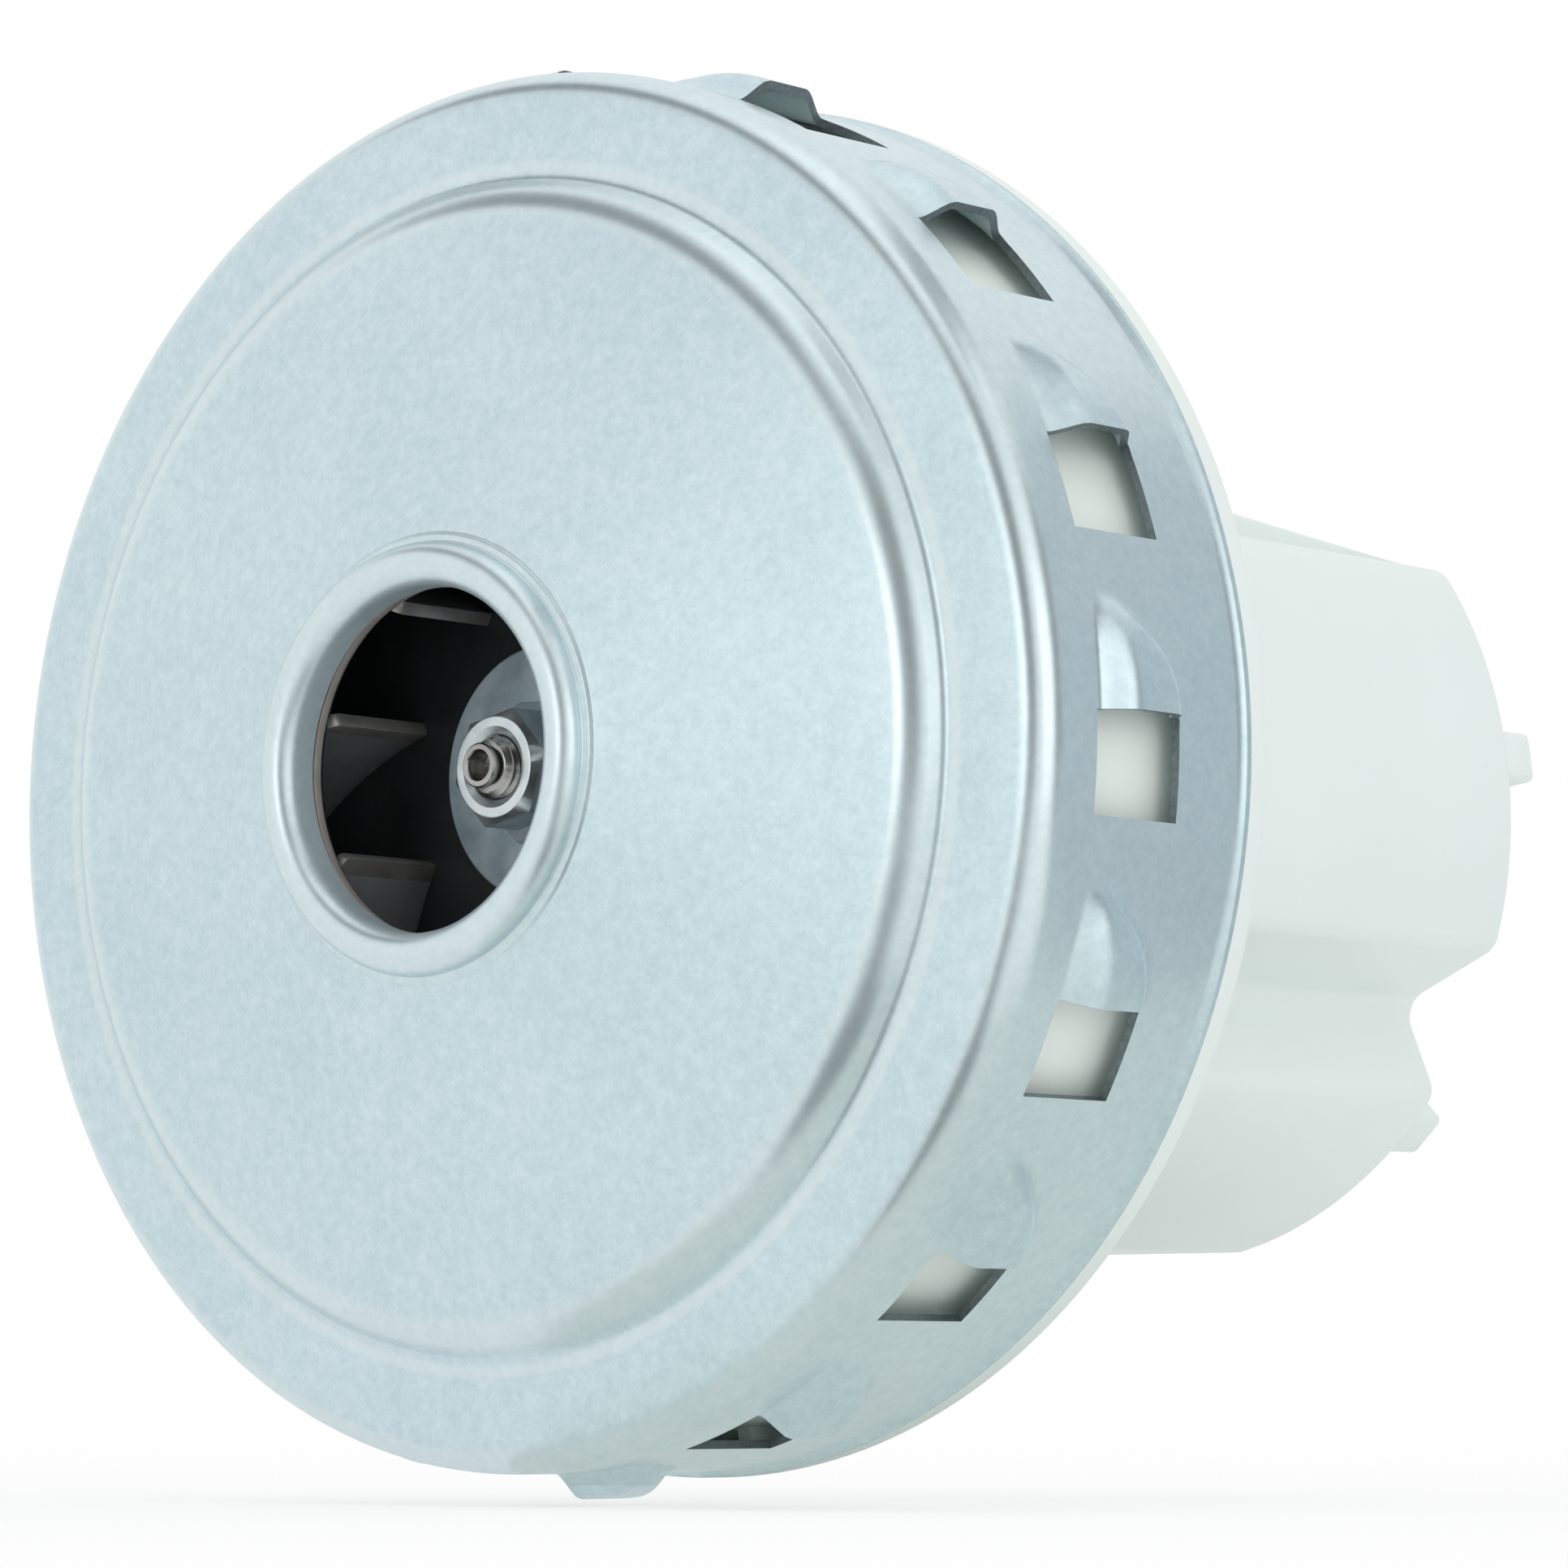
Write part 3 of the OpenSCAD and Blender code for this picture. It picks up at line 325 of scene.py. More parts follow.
@dataclass(frozen=True)
class Metal(Finish):
    """Plain metal surface: two close tones, a fine grain and the fog of its plating or handling."""

    light: str = "#B9BDC0"
    dark: str = "#9DA2A6"
    roughness: float = 0.35
    grain_mm: float = 0.8
    cloud_mm: float = 5.0
    spread: float = 0.08
    metallic: float = 1.0

    def surface(self, tree: Tree, where: Socket) -> dict:
        """Clouded colour, with grain in the roughness and the bump."""
        share = remap(tree, noise(tree, where, self.cloud_mm, 4.0), (0.3, 0.7))
        grain = noise(tree, where, self.grain_mm, 3.0)
        rough = remap(tree, grain, wanted=(self.roughness - self.spread, self.roughness + self.spread))
        return {"Base Color": blend(tree, share, linear(self.dark), linear(self.light)),
                "Metallic": self.metallic, "Roughness": rough, "Normal": relief(tree, grain, 0.1, 0.03)}


@dataclass(frozen=True)
class Layered(Finish):
    """Stacked laminations or wound wire: bands that repeat along one direction."""

    light: str = "#8A8D90"
    dark: str = "#4C4F52"
    band_mm: float = 1.0
    along: Triple = (0.0, 1.0, 0.0)
    roughness: float = 0.45

    def surface(self, tree: Tree, where: Socket) -> dict:
        """Bands in the colour and the bump, drawn coarser than real so that they show."""
        dot = add_node(tree, "ShaderNodeVectorMath", {"operation": "DOT_PRODUCT"}, {0: where, 1: self.along})
        turns = calculate(tree, "MULTIPLY", dot.outputs["Value"], 2 * math.pi * per_mm(self.band_mm))
        share = remap(tree, calculate(tree, "SINE", turns), (-1.0, 1.0))
        return {"Base Color": blend(tree, share, linear(self.dark), linear(self.light)), "Metallic": 1.0,
                "Roughness": self.roughness, "Normal": relief(tree, share, 0.6, 0.2 * self.band_mm)}


@dataclass(frozen=True)
class Turned(Finish):
    """Turned steel: fine rings round the shaft from the lathe tool."""

    light: str = "#CBCBC8"
    dark: str = "#77746F"
    ring_mm: float = 0.35
    roughness: float = 0.24

    def surface(self, tree: Tree, where: Socket) -> dict:
        """Rings along the shaft, uneven as a tool leaves them."""
        long = add_node(tree, "ShaderNodeMapping", inputs={"Vector": where, "Scale": (0.05, 1.0, 0.05)})
        rings = noise(tree, long.outputs[0], self.ring_mm, 2.0)
        return {"Base Color": blend(tree, rings, linear(self.dark), linear(self.light)), "Metallic": 1.0,
                "Roughness": self.roughness, "Normal": relief(tree, rings, 0.2, 0.03)}


def wire(bm: Mesh, points: Iterable[Vector]) -> list[bmesh.types.BMVert]:
    """Draws an open line of edges.

    Args:
        bm: The mesh.
        points: The line's points, in metres.

    Returns:
        The line's vertices.
    """
    verts = [bm.verts.new(p) for p in points]
    for a, b in zip(verts, verts[1:]):
        bm.edges.new((a, b))
    return verts


def round_corner(bm: Mesh, vert: bmesh.types.BMVert, radius: float, segments: int) -> None:
    """Rounds one corner of a line of edges.

    Args:
        bm: The mesh.
        vert: The corner.
        radius: Radius of the rounding.
        segments: Number of edges along it.
    """
    a, b = (edge.other_vert(vert).co - vert.co for edge in vert.link_edges)
    reach = radius * MM / math.tan(a.angle(b) / 2)
    bmesh.ops.bevel(bm, geom=[vert], offset=reach, offset_type="OFFSET", segments=segments, profile=0.5,
                    affect="VERTICES", material=-1, clamp_overlap=False)


def profile(bm: Mesh, corners: Sequence[Triple], degrees: float = 0.0,
            segments: int = 8) -> None:
    """Draws a profile of (radius, height, rounding) corners at one angle round the shaft.

    Args:
        bm: The mesh, empty so far.
        corners: The profile's corners; a rounding of 0 leaves one sharp.
        degrees: The angle that the profile stands at.
        segments: Edges on each rounded corner.
    """
    verts = wire(bm, [at(r, degrees, h) for r, h, _ in corners])
    for vert, (_, _, rounding) in zip(verts, corners):
        if rounding > 0:
            round_corner(bm, vert, rounding, segments)


def spin_round(bm: Mesh, steps: int, geom: Sequence | None = None) -> None:
    """Spins lines a full turn round the shaft.

    Args:
        bm: The mesh.
        steps: Number of steps in the turn.
        geom: The lines; all vertices and edges if left out.
    """
    bmesh.ops.spin(bm, geom=list(geom or bm.verts[:] + bm.edges[:]), cent=(0, 0, 0), axis=SPIN_AXIS,
                   angle=2 * math.pi, steps=steps, use_merge=True, use_duplicate=False)
    weld(bm)


def weld(bm: Mesh) -> None:
    """Merges points that lie on each other."""
    bmesh.ops.remove_doubles(bm, verts=bm.verts, dist=WELD)


def ease_edges(bm: Mesh, edges: Iterable[bmesh.types.BMEdge], radius: float, segments: int) -> None:
    """Rounds edges by a radius, in that many steps."""
    bmesh.ops.bevel(bm, geom=list(edges), offset=radius * MM, offset_type="OFFSET", segments=segments,
                    profile=0.5, affect="EDGES", material=-1, clamp_overlap=True)


def face_out(bm: Mesh) -> None:
    """Points every face of the shells outwards."""
    bmesh.ops.recalc_face_normals(bm, faces=bm.faces)


def merge_in(bm: Mesh, part: Mesh) -> None:
    """Adds a part's mesh to another mesh and frees it."""
    mesh = bpy.data.meshes.new("part")
    part.to_mesh(mesh)
    part.free()
    bm.from_mesh(mesh)
    bpy.data.meshes.remove(mesh)


def in_order(loop: Sequence[bmesh.types.BMEdge]) -> list[bmesh.types.BMVert]:
    """Lists the vertices of a closed loop of edges in order round it."""
    left = set(loop)
    edge = loop[0]
    order = [edge.verts[0]]
    while left:
        left.discard(edge)
        order.append(edge.other_vert(order[-1]))
        edge = next((e for e in order[-1].link_edges if e in left), edge)
    return order[:-1]


def outward(places: Sequence[Vector]) -> list[Vector]:
    """Gives the direction out of a closed outline, in its own plane, at each of its points."""
    after, before = places[1:] + places[:1], places[-1:] + places[:-1]
    area = sum(p.x * n.z - n.x * p.z for p, n in zip(places, after))
    sign = math.copysign(1.0, area)
    found = []
    for p, n, b in zip(places, after, before):
        run = (n - p).normalized() + (p - b).normalized()
        found.append(Vector((run.z, 0.0, -run.x)).normalized() * sign)
    return found


def radius_of(point: Vector) -> float:
    """Distance of a point from the shaft's axis, in millimetres."""
    return math.hypot(point.x, point.z) / MM


def degrees_of(point: Vector) -> float:
    """Angle of a point round the shaft, from 0 to 360."""
    return math.degrees(math.atan2(point.z, point.x)) % 360


def finish_piece(bm: Mesh, name: str, body: Body, materials: Sequence[Material],
                 stands_for: Sequence[str] = (), sharp: float = 35.0) -> Piece:
    """Turns a finished mesh into a piece that rides on a body.

    Args:
        bm: The mesh, which is freed.
        name: The piece's name.
        body: The body that it rides on.
        materials: Its materials, in slot order.
        stands_for: The frame's nodes that it replaces.
        sharp: Angle above which an edge shades sharp.

    Returns:
        The piece.
    """
    mesh = bpy.data.meshes.new(name)
    bm.to_mesh(mesh)
    bm.free()
    mesh.shade_smooth()
    mesh.set_sharp_from_angle(angle=math.radians(sharp))
    for material in materials:
        mesh.materials.append(material)
    piece = bpy.data.objects.new(name, mesh)
    bpy.context.scene.collection.objects.link(piece)
    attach(piece, body.value)
    if stands_for:
        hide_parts(*stands_for)
    LOG.info("%s rides on %s: %d faces", name, body.value, len(mesh.polygons))
    return piece


@dataclass
class FanCover:
    """Deep-drawn cover with an inlet eye and hooded outlet windows."""

    sheet: float = 0.8
    rim_r: float = 65.5
    skirt_r: float = 65.0
    top: float = 28.8
    eye_r: float = 15.9
    bead_r: float = 2.0
    ledge_r: float = 20.9
    crest: float = 40.3
    eye_end: float = 36.5
    windows: int = 16
    columns: int = 25
    open_columns: int = 9
    hood_columns: int = 10
    phase: float = -6.93
    window_low: float = 9.9
    window_high: float = 21.6
    hood_low: float = 9.6
    hood_high: float = 21.3
    hood_rise: float = 2.35
    hood_front_run: float = 2.9
    hood_rear_run: float = 3.4
    hood_swell: float = 2.6
    hood_taper: float = 0.8
    hood_soft: float = 0.35
    bend_segments: int = 7
    # Heights at which the skirt is cut into rows, closer where the hoods bend
    rows: tuple[float, ...] = (
        3.5, 6.5, 9.0, window_low, 10.4, 10.9, 11.4, 11.9, 12.4, 12.9, 13.4, 13.9, 14.5, 15.3, 16.2, 17.1,
        18.0, 18.8, 19.4, 19.9, 20.2, 20.45, 20.7, 20.95, 21.2, window_high, 23.2)
    # Radius, height and rounding of the face's corners, from the shoulder to the foot of the lip
    face: tuple[Triple, ...] = (
        (58.2, 29.4, 0.0), (54.6, 29.7, 1.2), (52.6, 32.1, 4.8), (46.0, 33.27, 0.0), (38.0, 34.70, 0.0),
        (27.3, 36.6, 14.0), (23.2, 37.4, 0.0))

    def corners(self) -> list[Triple]:
        """Corners of the drawn profile, from the rim to the end of the eye's wall."""
        bead_out = self.eye_r + 2 * self.bead_r
        roll = self.bead_r - 0.02
        return ([(self.rim_r, 0.0, 0.0), (self.rim_r, 0.55, 0.15), (self.skirt_r, 1.1, 1.6)]
                + [(self.skirt_r, row, 0.0) for row in self.rows]
                + [(self.skirt_r, self.top, 3.2), *self.face, (self.ledge_r, 37.86, 0.3),
                   (self.ledge_r - 0.3, 38.12, 0.3), (bead_out, 38.2, 0.25), (bead_out, self.crest, roll),
                   (self.eye_r, self.crest, roll), (self.eye_r, 37.4, 0.0), (self.eye_r, self.eye_end, 0.0)])

    def hood_lift(self, along: float, height: float) -> float:
        """Gives how far a hood stands out of the skirt.

        Args:
            along: 0 at the hood's root and 1 at its free edge.
            height: Distance in front of the rim.

        Returns:
            The lift in millimetres.
        """
        if not 0 < along <= 1.0:
            return 0.0
        tall = self.hood_high - self.hood_low
        foot = self.hood_low + tall * (1 - math.sqrt(max(0.0, 1 - (1 - along) ** 2)))
        width = max(self.hood_high - foot, 1e-6)
        slope = (self.hood_high - height) / min(self.hood_front_run, 0.45 * width)
        front = self.hood_soft * smooth_step(slope) + (1 - self.hood_soft) * min(1.0, slope)
        rear = smooth_step((height - foot) / min(self.hood_rear_run, 0.45 * width))
        return self.hood_rise * (1 - (1 - along) ** self.hood_swell) ** self.hood_taper * front * rear

    def build(self, sheet: Material, edge: Material) -> Piece:
        """Spins the profile, presses the hoods, opens the windows and gives the sheet its thickness."""
        bm = bmesh.new()
        profile(bm, self.corners(), self.phase, self.bend_segments)
        spin_round(bm, self.windows * self.columns)
        face_out(bm)
        step = 360 / (self.windows * self.columns)
        last = self.open_columns + self.hood_columns
        for vert in bm.verts:
            height = -vert.co.y / MM
            if not self.hood_low < height < self.hood_high or radius_of(vert.co) < self.skirt_r - 1:
                continue
            column = round(((degrees_of(vert.co) - self.phase) % 360) / step) % self.columns
            lift = 0.0
            if column >= self.open_columns:
                lift = self.hood_lift((last - column) / self.hood_columns, height)
            scale = 1 + lift / self.skirt_r
            vert.co = Vector((vert.co.x * scale, vert.co.y, vert.co.z * scale))
        gone = []
        for face in bm.faces:
            centre = face.calc_center_median()
            column = int(((degrees_of(centre) - self.phase) % 360) / step) % self.columns
            inside = self.window_low < -centre.y / MM < self.window_high
            if inside and column < self.open_columns and radius_of(centre) > self.skirt_r - 1:
                gone.append(face)
        bmesh.ops.delete(bm, geom=gone, context="FACES")
        skin = set(bm.faces)
        sheared = [e for e in bm.edges if e.is_boundary]
        bmesh.ops.solidify(bm, geom=bm.faces[:], thickness=self.sheet * MM)
        for face in (f for e in sheared for f in e.link_faces if f not in skin):
            face.material_index = 1
        return finish_piece(bm, "fan_cover_sheet", Body.STATIC, [sheet, edge],
                            ["fan_cover"], sharp=50)


@dataclass
class MotorHousing:
    """White moulded housing: flange, body with flats and grooves, rear wall with air slots, boss and pegs."""

    radius: float = 44.5
    length: float = 72.5
    wall: float = 2.2
    flat_top: float = 25.5
    flat_bottom: float = 43.2
    roof_half: float = 33.0
    roof_rise: float = 6.5
    roof_end: float = 0.4
    groove_from: float = -17.5
    groove_to: float = -38.3
    groove_foot: tuple[float, float] = (31.22, -18.52)
    flange_r: float = 65.55
    flange_t: float = 2.6
    boss_r: float = 13.4
    boss_end: float = 78.5
    vents: int = 10
    vent_w: float = 3.4
    vent_l: float = 9.0
    fillet: float = 0.7
    edge: float = 1.0
    outlets: tuple[float, ...] = (165.0, 183.0, 240.0, 260.0)
    outlet_half: float = 8.0
    outlet_from: float = 4.1
    outlet_to: float = 11.1
    pegs: tuple[float, ...] = (8.0, -46.0, 172.0, 226.0)
    peg_size: Triple = (3.6, 5.6, 5.0)
    screw_at: float = 50.0
    screw_stud: Triple = (4.1, 1.4, 10.6)
    post_at: tuple[float, float] = (30.0, 9.0)
    post_stud: Triple = (3.1, 50.0, 71.0)
    rest_size: Triple = (8.0, 3.9, 7.8)
    rest_at: tuple[float, float] = (32.0, 68.7)
    # Depths that hold the inner face of the boss's end wall, and how much thinner that wall is
    boss_wall: tuple[float, float] = (75.5, 76.9)
    boss_thinned: float = 1.05

    def half_outline(self) -> list[Triple]:
        """Right half of the body's outline at the rim: X, Z and rounding, from the top to the bottom."""
        top = math.degrees(math.asin(self.flat_top / self.radius))
        low = -math.degrees(math.asin(self.flat_bottom / self.radius))

        def on_circle(degrees: float, rounding: float = 0.0) -> Triple:
            a = math.radians(degrees)
            return (self.radius * math.cos(a), self.radius * math.sin(a), rounding)

        def arc(start: float, end: float) -> list[Triple]:
            first, last = start - 4.0, end + 4.0
            count = round((first - last) / 1.9)
            return [on_circle(first + (last - first) * i / count) for i in range(count + 1)]

        ridge = self.flat_top + self.roof_rise
        return ([(0.0, ridge, 0.0), (self.roof_half, ridge, 1.8), (self.roof_half, self.flat_top, 1.7),
                 on_circle(top, 3.0)] + arc(top, self.groove_from)
                + [on_circle(self.groove_from, 2.4), (*self.groove_foot, 2.6), on_circle(self.groove_to, 2.1)]
                + arc(self.groove_to, low) + [on_circle(low, 2.2), (0.0, -self.flat_bottom, 0.0)])

    def rings(self) -> list[tuple[float, float]]:
        """Depth behind the rim and inward offset of each ring of the walls, from the flange to the rear."""
        quarter = [math.radians(18 * i) for i in range(6)]
        flare = [(self.flange_t + self.fillet * (1 - math.cos(a)), self.fillet * (math.sin(a) - 1))
                 for a in quarter]
        rear = [(self.length - self.edge * (1 - math.sin(a)), self.edge * (1 - math.cos(a))) for a in quarter]
        rows = [(depth, 0.0) for depth in (self.outlet_from, self.outlet_to, 24.0, 40.0, 56.0)]
        return [(self.flange_t, -self.fillet - 0.4)] + flare + rows + rear + [(self.length, self.edge + 0.2)]

    def draw_walls(self, bm: Mesh) -> tuple[list, list]:
        """Draws the outline and extrudes it ring by ring to the rear.

        Args:
            bm: The mesh, empty so far.

        Returns:
            The edges of the first ring and of the last.
        """
        half = self.half_outline()
        verts = wire(bm, [Vector((x, 0.0, z)) * MM for x, z, _ in half])
        for vert, (_, _, rounding) in zip(verts, half):
            if rounding > 0:
                round_corner(bm, vert, rounding, 6)
        bmesh.ops.mirror(bm, geom=bm.verts[:] + bm.edges[:], matrix=Matrix.Identity(4), merge_dist=0.01 * MM,
                         axis="X")
        first = loop = bm.edges[:]
        order = in_order(first)
        flats = [v.co.copy() for v in order]
        number = {v: i for i, v in enumerate(order)}
        for ring, (depth, inset) in enumerate(self.rings()):
            if ring:
                made = bmesh.ops.extrude_edge_only(bm, edges=loop)["geom"]
                places = {v.co[:]: i for v, i in number.items()}
                number = {g: places[g.co[:]] for g in made if isinstance(g, bmesh.types.BMVert)}
                loop = [g for g in made
                        if isinstance(g, bmesh.types.BMEdge) and all(v in number for v in g.verts)]
            shape = [Vector((flat.x, depth * MM, self.lowered(flat, depth))) for flat in flats]
            out = outward(shape)
            if depth > self.length / 2:
                # The roof is nearly level at the rear, so its points move straight down
                level = (self.flat_top - 0.01) * MM
                out = [Vector(UP) if flat.z > level else o for flat, o in zip(flats, out)]
            for vert, i in number.items():
                vert.co = shape[i] - out[i] * inset * MM
        return first, loop

    def lowered(self, place: Vector, depth: float) -> float:
        """Height of a point of the outline once the roof has sloped down to a depth."""
        over = place.z / MM - self.flat_top
        if over < 0.0 or abs(place.x) > (self.roof_half + 2.0) * MM:
            return place.z
        share = 1 - (1 - self.roof_end / self.roof_rise) * depth / self.length
        return (self.flat_top + over * share) * MM

    def draw_rear(self, bm: Mesh, rear: list) -> None:
        """Adds the bearing boss and fills the slotted rear wall between it and the walls."""
        start, end, base = self.length, self.boss_end, self.boss_r + 1.2
        before = set(bm.edges)
        part = bmesh.new()
        profile(part, [(base, -start, 0.0), (base - 0.4, -start, 0.0), (self.boss_r, -start, 0.75),
                       (self.boss_r, -end, 0.9), (11.4, -end, 0.0), (10.9, -end + 0.5, 0.0),
                       (8.0, -end + 0.5, 0.0), (0.0, -end + 0.5, 0.0)], segments=5)
        spin_round(part, 100)
        merge_in(bm, part)
        made = [e for e in bm.edges if e not in before]
        holes = [e for e in made if all(abs(radius_of(v.co) - base) < 0.05 for v in e.verts)]
        for i in range(self.vents):
            turn = Matrix.Rotation(-math.radians((i + 0.5) * 360 / self.vents), 4, "Y")
            place = turn @ Matrix.Translation(Vector((15.0 + self.vent_w / 2, start, 0.0)) * MM)
            slot = bmesh.ops.create_circle(bm, cap_ends=False, segments=24, radius=self.vent_w / 2 * MM,
                                           matrix=place @ Matrix.Rotation(math.pi / 2, 4, "X"))["verts"]
            along = turn @ Vector((1.0, 0.0, 0.0))
            middle = place.translation
            far = [v for v in slot if (v.co - middle).dot(along) > -0.01 * MM]
            bmesh.ops.translate(bm, verts=far, vec=along * (self.vent_l - self.vent_w) * MM)
            holes += {e for v in slot for e in v.link_edges}
        bmesh.ops.triangle_fill(bm, use_beauty=True, use_dissolve=False, edges=rear + holes)

    def draw_flange(self, bm: Mesh, front: list) -> None:
        """Adds the flange's edge and fills its rear face round the body."""
        before = set(bm.edges)
        inner = self.flange_r - 1.4
        part = bmesh.new()
        profile(part, [(inner, -self.flange_t, 0.0), (self.flange_r, -self.flange_t, 0.7),
                       (self.flange_r, 0.0, 0.0)], segments=5)
        spin_round(part, 240)
        merge_in(bm, part)
        made = [e for e in bm.edges if e not in before]
        edge = [e for e in made if all(abs(radius_of(v.co) - inner) < 0.05 for v in e.verts)]
        bmesh.ops.triangle_fill(bm, use_beauty=True, use_dissolve=False, edges=front + edge)

    def open_outlets(self, bm: Mesh) -> None:
        """Cuts the cooling-air outlets in the hidden side of the body."""
        gone = []
        for face in bm.faces:
            centre = face.calc_center_median()
            inside = self.outlet_from < centre.y / MM < self.outlet_to
            near = min(abs(degrees_of(centre) - a) for a in self.outlets)
            if inside and near < self.outlet_half and radius_of(centre) < self.radius + 1:
                gone.append(face)
        bmesh.ops.delete(bm, geom=gone, context="FACES")

    def add_block(self, bm: Mesh, size: Triple, centre: Vector, degrees: float,
                  rounding: float) -> None:
        """Adds a rounded block.

        Args:
            bm: The mesh.
            size: Its sides along the radius, the depth and across.
            centre: Its centre before it is turned, in millimetres.
            degrees: Its turn round the shaft.
            rounding: Radius on its edges.
        """
        turn = Matrix.Rotation(math.radians(-degrees), 4, "Y")
        shape = turn @ Matrix.Translation(centre * MM) @ Matrix.Diagonal((*(s * MM for s in size), 1.0))
        verts = bmesh.ops.create_cube(bm, size=1.0, matrix=shape)["verts"]
        edges = {e for v in verts for e in v.link_edges}
        ease_edges(bm, edges, rounding, 3)

    def add_stud(self, bm: Mesh, stud: Triple, x: float, z: float, rounding: float) -> None:
        """Adds a round stud along the shaft's direction.

        Args:
            bm: The mesh.
            stud: Its radius and the depths at which it starts and ends.
            x: Its place across.
            z: Its place in height.
            rounding: Radius on its ends' edges.
        """
        radius, start, end = stud
        middle = Vector((x, (start + end) / 2, z)) * MM
        place = Matrix.Translation(middle) @ Matrix.Rotation(math.pi / 2, 4, "X")
        verts = bmesh.ops.create_cone(bm, cap_ends=True, segments=40, radius1=radius * MM,
                                      radius2=radius * MM, depth=(end - start) * MM, matrix=place)["verts"]
        rims = {e for v in verts for e in v.link_edges if e.calc_face_angle(0.0) > 1.0}
        ease_edges(bm, rims, rounding, 3)

    def build(self, plastic: Material) -> Piece:
        """Draws the shell, thickens it and adds the studs, rests and pegs."""
        bm = bmesh.new()
        front, rear = self.draw_walls(bm)
        self.draw_rear(bm, rear)
        self.draw_flange(bm, front)
        self.open_outlets(bm)
        weld(bm)
        face_out(bm)
        bmesh.ops.solidify(bm, geom=bm.faces[:], thickness=self.wall * MM)
        for vert in bm.verts:
            inner = self.boss_wall[0] < vert.co.y / MM < self.boss_wall[1]
            if inner and radius_of(vert.co) < self.boss_r - 1.9:
                vert.co.y += self.boss_thinned * MM
        peg = Vector((self.radius - 0.3 - self.peg_size[0] / 2, self.length + 1.7, 0.0))
        for a in self.pegs:
            self.add_block(bm, self.peg_size, peg, a, 0.7)
        for i in range(4):
            a = math.radians(45 + 90 * i)
            self.add_stud(bm, self.screw_stud, self.screw_at * math.cos(a), self.screw_at * math.sin(a), 0.8)
        x, z = self.post_at
        for side in (-1, 1):
            self.add_stud(bm, self.post_stud, side * x, -z, 0.3)
            self.add_stud(bm, self.post_stud, side * x, z, 0.3)
            rest = Vector((side * self.rest_at[0], self.rest_at[1], 0.0))
            self.add_block(bm, self.rest_size, rest, 0.0, 0.3)
        return finish_piece(bm, "motor_housing_shell", Body.STATIC, [plastic],
                            ["motor_housing"], sharp=40)


